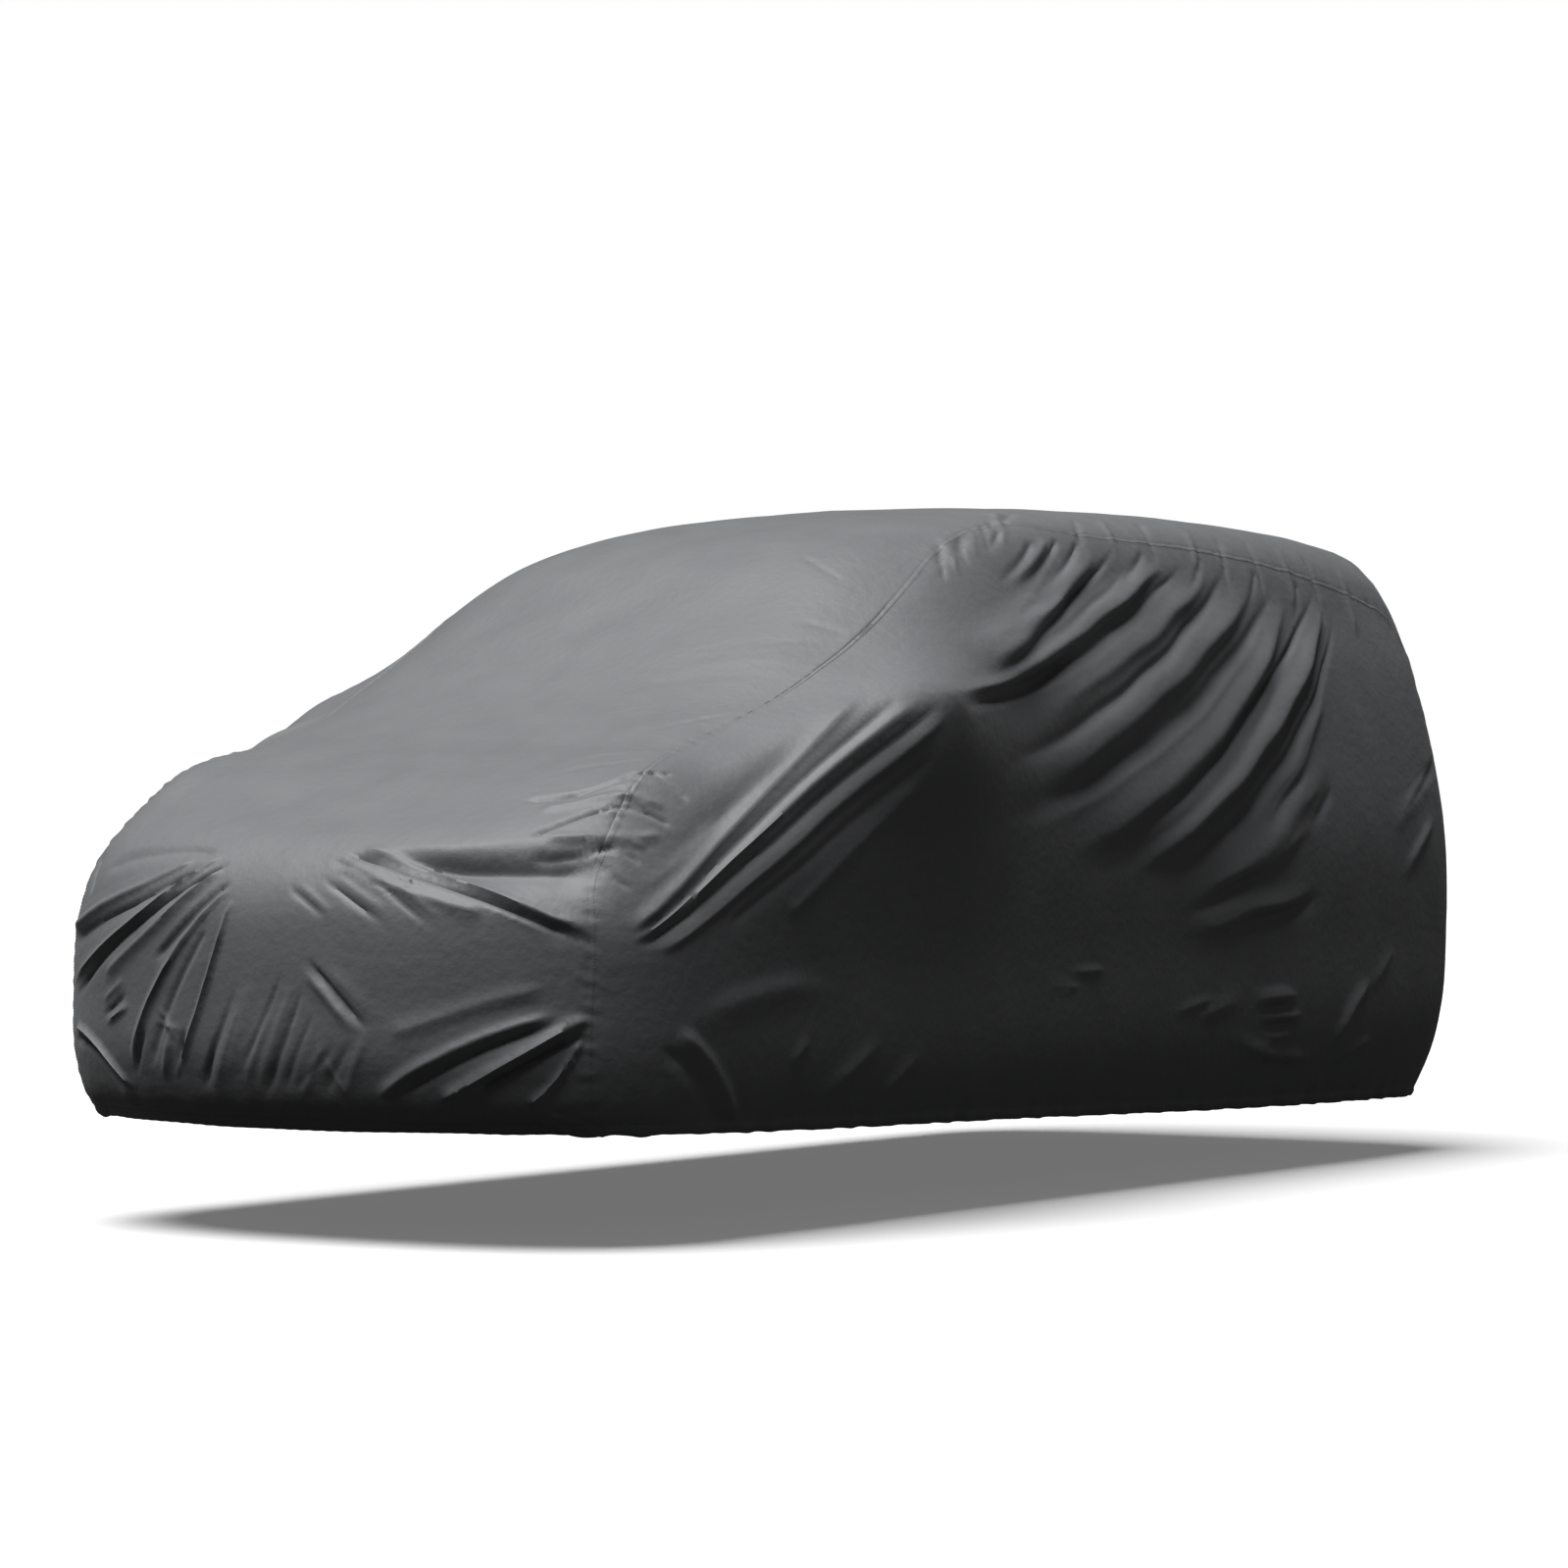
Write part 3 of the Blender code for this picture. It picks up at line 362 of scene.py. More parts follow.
# Folds, in groups that lie on one face. Each row: where the fold starts, where it ends, how far
# its middle bows to the left of that line, its half width, its height (a trough is below zero)
# and its lean, if it has one, which makes the flank on its left steeper. A group's fade is the
# share of the length over which its folds rise at the start and die out at the end, and its
# spread is how much of the width they have at both ends. Its fine is how many finer folds lie
# beside each one, its wander how far they stray, and its crest how round their ridges are.
foldGroups = [
    {"on": "side", "fade": (0.24, 0.24), "spread": (0.35, 1.20),
     "fine": 1, "wander": 0.004, "crest": 1.1, "rows": [
        # ridges from the roof seam down towards the ear, y and z
        (1.56, 1.455, 0.74, 1.150, 0.023, 0.036, 0.018, 0.50),
        (1.84, 1.440, 0.74, 1.122, 0.033, 0.034, 0.022, 0.60),
        (2.05, 1.430, 0.93, 1.057, 0.035, 0.042, 0.017, 0.50),
        (2.25, 1.405, 0.94, 0.914, 0.032, 0.050, 0.020, 0.50),
        (2.39, 1.385, 1.05, 0.764, 0.082, 0.042, 0.020, 0.50),
        (2.59, 1.385, 1.32, 0.711, 0.067, 0.036, 0.024, 0.60),
    ]},
    {"on": "side", "fade": (0.24, 0.32), "spread": (0.35, 1.20),
     "fine": 1, "wander": 0.004, "crest": 1.0, "rows": [
        # the troughs under them
        (1.66, 1.475, 0.76, 1.135, 0.026, 0.013, -0.010),
        (1.92, 1.445, 0.78, 1.102, 0.044, 0.015, -0.011),
        (2.14, 1.440, 0.74, 0.942, 0.057, 0.022, -0.013),
        (2.36, 1.410, 0.74, 0.831, 0.078, 0.026, -0.012),
        (2.55, 1.395, 1.19, 0.747, 0.037, 0.015, -0.012),
        (2.61, 1.350, 1.41, 0.679, 0.085, 0.018, -0.014),
    ]},
    {"on": "side", "fade": (0.30, 0.50), "spread": (0.80, 1.20),
     "fine": 1, "wander": 0.005, "crest": 1.0, "rows": [
        # lower, softer ones
        (2.40, 1.160, 2.02, 0.865, 0.017, 0.018, 0.008, 0.30),
        (2.36, 1.000, 1.70, 0.690, 0.030, 0.034, 0.009, 0.40),
        (2.23, 0.838, 1.47, 0.620, 0.019, 0.030, 0.012, 0.50),
        (2.19, 0.666, 1.50, 0.566, 0.007, 0.026, 0.012, 0.50),
        (2.22, 0.979, 1.91, 0.801, 0.017, 0.015, -0.009),
        (2.32, 0.915, 2.17, 0.799, 0.000, 0.012, -0.006),
        (1.96, 0.715, 1.57, 0.613, 0.000, 0.019, -0.010),
        (2.23, 0.646, 1.73, 0.576, 0.007, 0.017, -0.011),
        (2.97, 0.995, 2.64, 0.820, 0.000, 0.014, -0.009),
        (2.90, 0.955, 2.60, 0.800, 0.000, 0.016, 0.009),
        (2.86, 0.840, 2.62, 0.680, 0.000, 0.014, 0.008),
        (2.48, 0.445, 2.28, 0.265, -0.010, 0.016, 0.012, 0.30),
        (1.64, 0.374, 1.87, 0.425, 0.000, 0.018, 0.005),
        (2.09, 0.392, 1.91, 0.386, 0.000, 0.008, -0.007),
        (2.12, 0.420, 1.88, 0.408, 0.000, 0.014, 0.010),
        (2.13, 0.352, 1.92, 0.346, 0.000, 0.009, -0.007),
        (1.24, 0.502, 1.08, 0.508, 0.000, 0.007, 0.004),
        (2.14, 0.370, 1.93, 0.364, 0.000, 0.009, 0.008),
        (2.10, 0.325, 1.95, 0.320, 0.000, 0.010, 0.006),
        (1.14, 0.470, 0.98, 0.476, 0.000, 0.006, 0.003),
        (1.72, 0.420, 1.52, 0.400, 0.000, 0.009, 0.004),
        (2.52, 0.300, 2.26, 0.240, 0.000, 0.012, 0.006),
        (2.60, 0.520, 2.44, 0.400, 0.000, 0.012, 0.004),
        (2.24, 0.262, 1.76, 0.330, 0.010, 0.015, 0.007),
        (1.37, 1.360, 0.90, 1.235, 0.013, 0.013, 0.005),
    ]},
    {"on": "side", "fade": (0.15, 0.60), "spread": (0.70, 1.30),
     "fine": 0, "wander": 0.003, "crest": 0.6, "rows": [
        # short puckers under the roof seam
        (1.42, 1.480, 1.10, 1.350, 0.010, 0.009, -0.008),
        (1.30, 1.470, 1.02, 1.350, 0.008, 0.009, -0.007),
        (1.51, 1.480, 1.22, 1.350, 0.010, 0.008, -0.007),
        (1.36, 1.475, 1.08, 1.360, 0.008, 0.012, 0.006),
        (1.24, 1.500, 1.06, 1.420, 0.000, 0.008, -0.007),
        (1.76, 1.465, 1.56, 1.370, 0.010, 0.009, -0.005),
        (2.02, 1.455, 1.84, 1.360, 0.010, 0.009, -0.005),
        (2.26, 1.435, 2.12, 1.330, 0.010, 0.009, -0.005),
        (2.46, 1.415, 2.36, 1.300, 0.005, 0.009, -0.005),
    ]},
    {"on": "side", "fade": (0.12, 0.06), "spread": (1.20, 0.75),
     "fine": 0, "wander": 0.0015, "crest": 0.35, "rows": [
        # the lower edge of the ear, then taut from the ear down to the front corner
        (0.35, 1.105, -0.43, 0.622, -0.010, 0.014, 0.009, 0.40),
        (0.40, 1.100, -0.42, 0.612, -0.006, 0.009, -0.008),
        (0.445, 1.102, -0.43, 0.602, -0.002, 0.011, 0.008, 0.40),
        (0.49, 1.094, -0.42, 0.590, 0.005, 0.010, -0.009),
        (0.52, 1.078, -0.38, 0.578, 0.010, 0.010, 0.005, 0.30),
        (0.47, 0.990, -0.19, 0.633, 0.010, 0.012, -0.004),
        (0.42, 0.924, 0.00, 0.651, 0.006, 0.020, 0.004),
    ]},
    {"on": "side", "fade": (0.30, 0.50), "spread": (1.10, 0.90),
     "fine": 0, "wander": 0.003, "crest": 0.8, "rows": [
        # the soft hollow above them
        (0.26, 1.050, -0.42, 0.668, -0.014, 0.032, -0.013),
        (-0.10, 0.870, -0.42, 0.690, 0.010, 0.012, 0.005),
    ]},
    {"on": "side", "fade": (0.25, 0.32), "spread": (1.30, 0.50),
     "fine": 0, "wander": 0.002, "crest": 0.35, "rows": [
        # the edge of the ear's tent
        (1.34, 1.251, 0.50, 1.106, 0.034, 0.016, 0.009, 0.50),
        (1.30, 1.225, 0.53, 1.084, 0.038, 0.012, -0.010),
    ]},
    {"on": "side", "fade": (0.35, 0.45), "spread": (1.0, 1.0),
     "fine": 0, "wander": 0.005, "crest": 0.8, "rows": [
        # a faint arch low on the front corner, and the streaks under it
        (-0.34, 0.420, 0.24, 0.468, 0.060, 0.024, 0.007, 0.30),
        (0.08, 0.400, 0.02, 0.340, 0.000, 0.012, 0.005),
        (0.36, 0.390, 0.12, 0.260, 0.000, 0.016, 0.006),
        (0.52, 0.360, 0.34, 0.250, 0.000, 0.014, 0.004),
    ]},
    {"on": "side", "fade": (0.15, 0.30), "spread": (0.80, 1.20),
     "fine": 0, "wander": 0.004, "crest": 0.6, "rows": [
        # down from the arch's front end to the hem
        (-0.345, 0.435, -0.10, 0.190, 0.022, 0.018, 0.009, 0.10),
        (-0.38, 0.405, -0.17, 0.195, 0.020, 0.014, -0.006),
        # bunched where the wedge ends at the seam
        (-0.425, 0.790, -0.355, 0.750, 0.014, 0.006, -0.007),
        (-0.430, 0.775, -0.395, 0.705, -0.012, 0.006, -0.006),
        (-0.380, 0.803, -0.325, 0.790, 0.000, 0.007, 0.005),
    ]},
    {"on": "front", "fade": (0.10, 0.10), "spread": (0.85, 0.85),
     "fine": 2, "wander": 0.002, "crest": 0.35, "rows": [
        # between the middle of the front edge and the front corner, x and z
        (0.13, 0.782, 0.69, 0.598, 0.024, 0.007, -0.010),
        (0.16, 0.790, 0.69, 0.616, 0.028, 0.014, 0.011, -0.40),
        (0.14, 0.758, 0.50, 0.662, -0.003, 0.012, 0.006),
        (0.20, 0.765, 0.62, 0.625, 0.020, 0.007, 0.003),
    ]},
    {"on": "front", "fade": (0.50, 0.16), "spread": (0.20, 1.30),
     "fine": 0, "wander": 0.003, "crest": 0.6, "rows": [
        # the wedge under the front edge of the top
        (0.15, 0.788, 0.69, 0.754, -0.009, 0.046, -0.040, 0.20),
    ]},
    {"on": "front", "fade": (0.08, 0.14), "spread": (0.60, 1.15),
     "fine": 2, "wander": 0.0025, "crest": 0.35, "rows": [
        # fanning to the far corner
        (-0.15, 0.765, -0.64, 0.480, -0.003, 0.006, -0.008),
        (-0.21, 0.760, -0.69, 0.595, 0.017, 0.008, -0.009),
        (-0.18, 0.780, -0.66, 0.507, 0.011, 0.008, 0.009),
        (-0.25, 0.768, -0.70, 0.617, 0.007, 0.010, 0.009),
        (-0.16, 0.752, -0.50, 0.520, 0.005, 0.010, 0.008, -0.30),
        (-0.13, 0.722, -0.32, 0.560, 0.000, 0.009, -0.007),
        (-0.12, 0.710, -0.39, 0.340, -0.031, 0.007, 0.009, 0.30),
        (-0.11, 0.690, -0.26, 0.315, 0.019, 0.007, 0.009),
        (-0.17, 0.630, -0.33, 0.340, -0.006, 0.010, -0.006),
        (-0.21, 0.780, -0.56, 0.740, -0.020, 0.015, -0.005),
    ]},
    {"on": "front", "fade": (0.35, 0.35), "spread": (0.80, 1.10),
     "fine": 1, "wander": 0.002, "crest": 0.35, "rows": [
        # short creases: in the middle, under the upper edge, then low on the far half
        (0.10, 0.575, 0.265, 0.428, -0.002, 0.007, -0.011),
        (0.085, 0.560, 0.235, 0.425, 0.000, 0.009, 0.005),
        (0.14, 0.570, 0.28, 0.450, 0.000, 0.014, 0.003),
        (0.02, 0.724, 0.15, 0.650, 0.000, 0.005, -0.004),
        (0.04, 0.730, 0.17, 0.655, 0.000, 0.007, 0.003),
        (0.09, 0.738, 0.30, 0.636, 0.004, 0.005, -0.005),
        (0.12, 0.742, 0.31, 0.655, 0.004, 0.008, 0.003),
        (0.24, 0.735, 0.39, 0.636, 0.000, 0.005, -0.004),
        (0.27, 0.740, 0.42, 0.644, 0.000, 0.007, 0.003),
        (0.09, 0.772, 0.33, 0.690, 0.006, 0.005, -0.004),
        (0.09, 0.782, 0.32, 0.712, 0.004, 0.007, 0.003),
        (-0.485, 0.427, -0.39, 0.472, 0.000, 0.006, 0.006),
        (-0.50, 0.440, -0.40, 0.495, 0.000, 0.006, -0.006),
        (-0.50, 0.470, -0.41, 0.525, 0.000, 0.006, 0.004),
        (-0.385, 0.325, -0.335, 0.430, 0.000, 0.006, -0.006),
        (-0.245, 0.322, -0.220, 0.430, 0.000, 0.006, -0.006),
        (-0.300, 0.310, -0.255, 0.430, 0.000, 0.012, 0.006),
        (-0.30, 0.470, -0.24, 0.400, 0.000, 0.006, 0.004),
        (-0.32, 0.440, -0.22, 0.420, 0.000, 0.006, 0.003),
        (-0.62, 0.790, -0.60, 0.690, 0.000, 0.008, -0.012),
    ]},
    {"on": "front", "fade": (0.35, 0.25), "spread": (0.80, 1.30),
     "fine": 1, "wander": 0.005, "crest": 0.5, "rows": [
        # crinkles in the lower middle
        (-0.07, 0.530, -0.185, 0.292, 0.003, 0.006, -0.005),
        (-0.05, 0.530, -0.15, 0.292, 0.008, 0.010, 0.004),
        (0.10, 0.520, -0.01, 0.286, 0.004, 0.006, -0.005),
        (0.08, 0.540, -0.035, 0.290, 0.004, 0.009, 0.003),
        (0.02, 0.480, -0.07, 0.295, 0.002, 0.008, 0.003),
        (0.17, 0.420, 0.08, 0.290, 0.000, 0.008, 0.003),
        (0.23, 0.420, 0.13, 0.290, 0.000, 0.007, -0.003),
        (0.26, 0.430, 0.18, 0.290, 0.000, 0.009, 0.003),
        (0.05, 0.560, -0.06, 0.350, 0.006, 0.006, -0.004),
        (0.13, 0.470, 0.04, 0.300, 0.000, 0.006, -0.004),
        (-0.02, 0.600, -0.12, 0.300, 0.012, 0.007, 0.003),
        (0.19, 0.400, 0.06, 0.300, 0.000, 0.006, -0.003),
        (-0.13, 0.420, -0.17, 0.300, 0.000, 0.006, -0.004),
        (0.15, 0.380, 0.19, 0.300, 0.000, 0.006, 0.003),
    ]},
    {"on": "front", "fade": (0.12, 0.14), "spread": (1.10, 0.80),
     "fine": 1, "wander": 0.002, "crest": 0.35, "rows": [
        # up from the hem to the front corner
        (0.26, 0.296, 0.64, 0.470, 0.016, 0.012, 0.009),
        (0.40, 0.292, 0.69, 0.465, -0.004, 0.011, 0.013, -0.30),
        (0.48, 0.315, 0.68, 0.432, 0.001, 0.007, -0.011),
        (0.31, 0.307, 0.62, 0.450, 0.001, 0.009, -0.008),
        (0.57, 0.288, 0.675, 0.422, -0.013, 0.006, 0.007),
        (0.30, 0.420, 0.62, 0.520, 0.006, 0.015, 0.004),
        (-0.63, 0.425, -0.405, 0.300, 0.021, 0.007, 0.011, 0.30),
        (-0.64, 0.395, -0.44, 0.292, 0.028, 0.009, -0.011),
    ]},
    {"on": "top", "fade": (0.15, 0.15), "spread": (1.0, 0.8),
     "fine": 1, "wander": 0.004, "crest": 0.5, "rows": [
        # puckers across the seam at the front corner, x and y
        (0.41, -0.365, 0.605, -0.228, -0.022, 0.008, -0.008),
        (0.51, -0.470, 0.625, -0.322, -0.001, 0.007, -0.008),
        (0.61, -0.338, 0.700, -0.250, 0.000, 0.007, -0.006),
        (0.47, -0.390, 0.680, -0.238, -0.011, 0.012, 0.007),
        (0.54, -0.465, 0.700, -0.275, -0.032, 0.011, 0.006),
        (0.53, -0.505, 0.670, -0.370, -0.024, 0.010, -0.006),
        (0.600, -0.205, 0.690, -0.175, 0.000, 0.008, -0.005),
        (0.575, -0.260, 0.640, -0.160, 0.000, 0.006, -0.005),
    ]},
    {"on": "top", "fade": (0.40, 0.20), "spread": (1.3, 0.8),
     "fine": 1, "wander": 0.005, "crest": 0.6, "rows": [
        # faint lines in from the seam over the slope
        (0.36, -0.150, 0.580, 0.175, 0.016, 0.008, -0.0025),
        (0.30, 0.755, 0.600, 0.640, -0.028, 0.006, -0.0025),
        (0.46, 0.490, 0.610, 0.520, 0.000, 0.007, -0.0025),
        (0.30, 0.340, 0.605, 0.490, -0.016, 0.009, -0.0020),
        (0.18, 0.210, 0.580, 0.330, -0.014, 0.013, -0.0020),
        (0.25, 0.270, 0.590, 0.400, -0.014, 0.011, 0.0020),
        (0.30, -0.230, 0.590, -0.060, 0.010, 0.011, 0.0025),
        (0.34, -0.290, 0.600, -0.130, 0.010, 0.008, -0.0025),
        (0.545, 1.065, 0.600, 0.955, 0.000, 0.010, -0.006),
        (0.545, 0.970, 0.605, 0.870, 0.000, 0.009, -0.005),
        (0.530, 1.010, 0.590, 0.920, 0.000, 0.010, 0.004),
        (0.46, 1.318, 0.545, 1.180, 0.000, 0.010, -0.005),
        (0.45, 1.426, 0.530, 1.250, 0.000, 0.009, -0.006),
        (0.44, 1.360, 0.530, 1.215, 0.000, 0.012, 0.005),
    ]},
    {"on": "top", "fade": (0.25, 0.30), "spread": (0.80, 1.20),
     "fine": 0, "wander": 0.003, "crest": 0.5, "rows": [
        # short lines across the seam along the roof, and fine ones bunched at its front end
        (0.600, 1.480, 0.500, 1.600, 0.000, 0.009, -0.005),
        (0.605, 1.620, 0.495, 1.720, 0.000, 0.010, 0.004),
        (0.620, 1.780, 0.500, 1.900, 0.005, 0.010, -0.005),
        (0.630, 1.960, 0.520, 2.070, 0.000, 0.010, 0.004),
        (0.640, 2.080, 0.530, 2.200, 0.000, 0.009, -0.005),
        (0.650, 2.250, 0.530, 2.340, 0.005, 0.010, -0.004),
        (0.655, 2.390, 0.540, 2.480, 0.000, 0.010, 0.004),
        (0.660, 2.520, 0.540, 2.600, 0.000, 0.010, -0.005),
        (0.660, 2.680, 0.560, 2.760, 0.000, 0.012, 0.005),
        (0.640, 0.840, 0.560, 0.930, 0.000, 0.007, -0.004),
        (0.635, 0.890, 0.550, 1.000, 0.000, 0.007, 0.004),
        (0.625, 0.950, 0.540, 1.060, 0.000, 0.007, -0.004),
        (0.615, 1.010, 0.530, 1.120, 0.000, 0.007, 0.003),
        (0.600, 1.090, 0.510, 1.190, 0.000, 0.007, -0.005),
        (0.590, 1.160, 0.500, 1.280, 0.000, 0.008, 0.004),
    ]},
    {"on": "back", "fade": (0.35, 0.50), "spread": (0.70, 1.30),
     "fine": 2, "wander": 0.007, "crest": 1.0, "rows": [
        # down from both top corners of the back, then short ones over the hem, x and z
        (0.56, 1.300, 0.10, 0.700, -0.050, 0.030, 0.017, 0.40),
        (0.50, 1.330, -0.05, 0.820, -0.040, 0.022, -0.014),
        (-0.57, 1.290, -0.16, 0.640, 0.050, 0.032, 0.016, -0.40),
        (-0.49, 1.320, 0.02, 0.900, 0.040, 0.022, -0.013),
        (0.62, 0.900, 0.30, 0.420, -0.030, 0.028, 0.014, 0.30),
        (-0.63, 0.860, -0.28, 0.400, 0.030, 0.026, 0.014, -0.30),
        (0.40, 0.470, 0.44, 0.210, 0.000, 0.020, 0.010),
        (0.12, 0.440, 0.10, 0.200, 0.000, 0.022, 0.010),
        (-0.20, 0.450, -0.17, 0.200, 0.000, 0.020, 0.009),
        (-0.46, 0.420, -0.50, 0.210, 0.000, 0.020, 0.010),
    ]},
]
foldLook = {
    "pointStep": 0.075, "leastPoints": 5, "reach": 2.2,
    "crease": 0.30,             # how round the bottom of a trough is; a group's crest is for ridges
    "wanderLength": 0.24,       # how often a fold strays; how far is each group's wander
    "straySeeds": (21, 22, 23), "seed": 5,
    # the finer folds beside a long one, as shares of its width, length and height
    "fineShift": (0.8, 1.7), "fineTrim": (0.0, 0.25), "fineSplay": (0.5, 1.6),
    "fineWidth": (0.32, 0.50), "fineLeast": 0.007, "fineHeight": (0.10, 0.26),
    # the far side hangs in its own way: the same folds, shifted and softened by chance, and
    # those that run less than farRun from front to back are shifted less
    "farShift": 0.045, "farRun": 0.6,
    "farBow": (0.7, 1.2), "farWidth": (0.9, 1.2), "farHeight": (0.65, 1.05),
    # soft unevenness of the whole cloth, and the waves that this and all straying add up from
    "ripple": 0.0008, "rippleLength": 0.15, "rippleSeed": 3,
    "waveCount": 5, "waveSpread": (0.7, 1.5), "waveScale": 3,
}


def waves(points, length, seed):
    # smooth numbers between about -1 and 1 that change over the given length
    chance = np.random.default_rng(seed)
    total = np.zeros(len(points))
    for _ in range(foldLook["waveCount"]):
        way = chance.normal(size=3)
        long = length * chance.uniform(*foldLook["waveSpread"])
        way *= 2 * math.pi / (long * np.linalg.norm(way))
        total += np.sin(points @ way + chance.uniform(0, 2 * math.pi))
    return total / foldLook["waveScale"]


def foldOn(row, onto, group, mirrored, main):
    start, end, bow = np.array(row[0:2]), np.array(row[2:4]), row[4]
    run = end - start
    left = np.array([-run[1], run[0]]) / np.linalg.norm(run)
    count = 1 + round(np.linalg.norm(run) / foldLook["pointStep"])
    count = max(foldLook["leastPoints"], count)
    u = np.linspace(0, 1, count)[:, None]
    line = start + u * run + 4 * u * (1 - u) * bow * left
    return {
        "line": onto(*line.T), "width": row[5], "height": row[6],
        "lean": -row[7] if mirrored else row[7],
        "fade": group["fade"], "spread": group["spread"], "wander": group["wander"],
        "crest": foldLook["crease"] if row[6] < 0 else group["crest"], "main": main,
    }


def besides(row, count, chance):
    # finer folds beside a long one
    run = np.array(row[2:4]) - np.array(row[0:2])
    left = np.array([-run[1], run[0]]) / np.linalg.norm(run)
    for _ in range(count):
        away = chance.choice((-1, 1)) * chance.uniform(*foldLook["fineShift"]) * row[5]
        trim = chance.uniform(*foldLook["fineTrim"])
        start = np.array(row[0:2]) + away * left + trim * run
        end = np.array(row[2:4]) + away * left * chance.uniform(*foldLook["fineSplay"])
        width = row[5] * chance.uniform(*foldLook["fineWidth"])
        height = abs(row[6]) * chance.uniform(*foldLook["fineHeight"]) * chance.choice((-1, 1))
        yield (*start, *end, row[4], max(width, foldLook["fineLeast"]), height, 0.0)


def farRow(row, chance):
    y0, z0, y1, z1, bow, width, height, lean = row
    slide = chance.uniform(-1, 1) * foldLook["farShift"]
    slide *= min(1, abs(y0 - y1) / foldLook["farRun"])
    return (
        y0 + slide, z0, y1 + slide, z1 + slide / 2, bow * chance.uniform(*foldLook["farBow"]),
        width * chance.uniform(*foldLook["farWidth"]),
        height * chance.uniform(*foldLook["farHeight"]), lean,
    )


def allFolds():
    chance = random.Random(foldLook["seed"])
    leftAt = functools.partial(sideAt, hand=1)
    rightAt = functools.partial(sideAt, hand=-1)
    places = {
        "side": (leftAt, False), "front": (frontAt, False), "top": (topAt, False),
        "back": (backAt, True),
    }
    found = []
    for group in foldGroups:
        for row in group["rows"]:
            row = (*row, 0.0)[:8]       # a row that names no lean has none
            onto, mirrored = places[group["on"]]
            sides = [(row, onto, mirrored)]
            if group["on"] == "side":
                sides.append((farRow(row, chance), rightAt, True))
            for main, onto, mirrored in sides:
                found.append(foldOn(main, onto, group, mirrored, True))
                for fine in besides(main, group["fine"], chance):
                    found.append(foldOn(fine, onto, group, mirrored, False))
    return found


gather = {      # waves above the hem, where the elastic draws it in
    "length": 0.125, "height": 0.0025, "rise": 0.12,
    "sway": 1.3, "swayRate": 0.37, "swayFrom": 1,
    "second": 0.5, "secondRate": 1.7, "secondFrom": 2,
}


def hemHeight(points, onEnd):
    return np.where(onEnd, hem["front"], tableAt(hem["side"], points[:, 1]))


def gathers(points, normals):
    onEnd = np.abs(normals[:, 1]) > math.sqrt(0.5)
    phase = np.where(onEnd, points[:, 0], points[:, 1]) / gather["length"] * 2 * math.pi
    sway = np.sin(gather["swayRate"] * phase + gather["swayFrom"])
    wave = np.sin(phase + gather["sway"] * sway)
    wave += gather["second"] * np.sin(gather["secondRate"] * phase + gather["secondFrom"])
    fade = np.clip(1 - (points[:, 2] - hemHeight(points, onEnd)) / gather["rise"], 0, 1)
    return gather["height"] * wave * fade * fade


def rise(share):
    return share * share * (3 - 2 * share)


def addFold(total, one, points, stray, normals):
    line, crest = one["line"], one["crest"]
    widest = foldLook["reach"] * one["width"] * max(one["spread"])
    near = boxAround(line, points, widest * (1 + abs(one["lean"])) + one["wander"])
    if not len(near):
        return
    strayed = points[near] + one["wander"] * stray[near]
    best, at = np.full(len(near), np.inf), np.zeros(len(near))
    side = np.zeros(len(near))
    for k in range(len(line) - 1):
        run = line[k + 1] - line[k]
        away = strayed - line[k]
        u = np.clip(away @ run / (run @ run), 0, 1)
        gap = np.linalg.norm(away - u[:, None] * run, axis=1)
        closer = gap < best
        best = np.where(closer, gap, best)
        at = np.where(closer, (k + u) / (len(line) - 1), at)
        onLeft = (np.cross(run, away) * normals[near]).sum(1)
        side = np.where(closer, np.sign(onLeft), side)
    width = one["width"] * (one["spread"][0] * (1 - at) + one["spread"][1] * at)
    width = width * (1 - one["lean"] * side)
    fadeIn, fadeOut = one["fade"]
    ends = rise(np.clip(at / fadeIn, 0, 1)) * rise(np.clip((1 - at) / fadeOut, 0, 1))
    slope = np.sqrt((best / width) ** 2 + crest ** 2) - crest
    slope /= math.hypot(foldLook["reach"], crest) - crest
    total[near] += one["height"] * np.clip(1 - slope, 0, 1) ** 2 * ends


def strayOf(points):
    length, seeds = foldLook["wanderLength"], foldLook["straySeeds"]
    return np.stack([waves(points, length, seed) for seed in seeds], 1)


def raised(points, normals, foldList, edges):
    total = gathers(points, normals)
    uneven = waves(points, foldLook["rippleLength"], foldLook["rippleSeed"])
    total += foldLook["ripple"] * uneven
    stray = strayOf(points)
    for one in foldList:
        addFold(total, one, points, stray, normals)
    total += seamWork(points, normals, edges["seams"])
    return total + hemWork(points, edges["hems"])


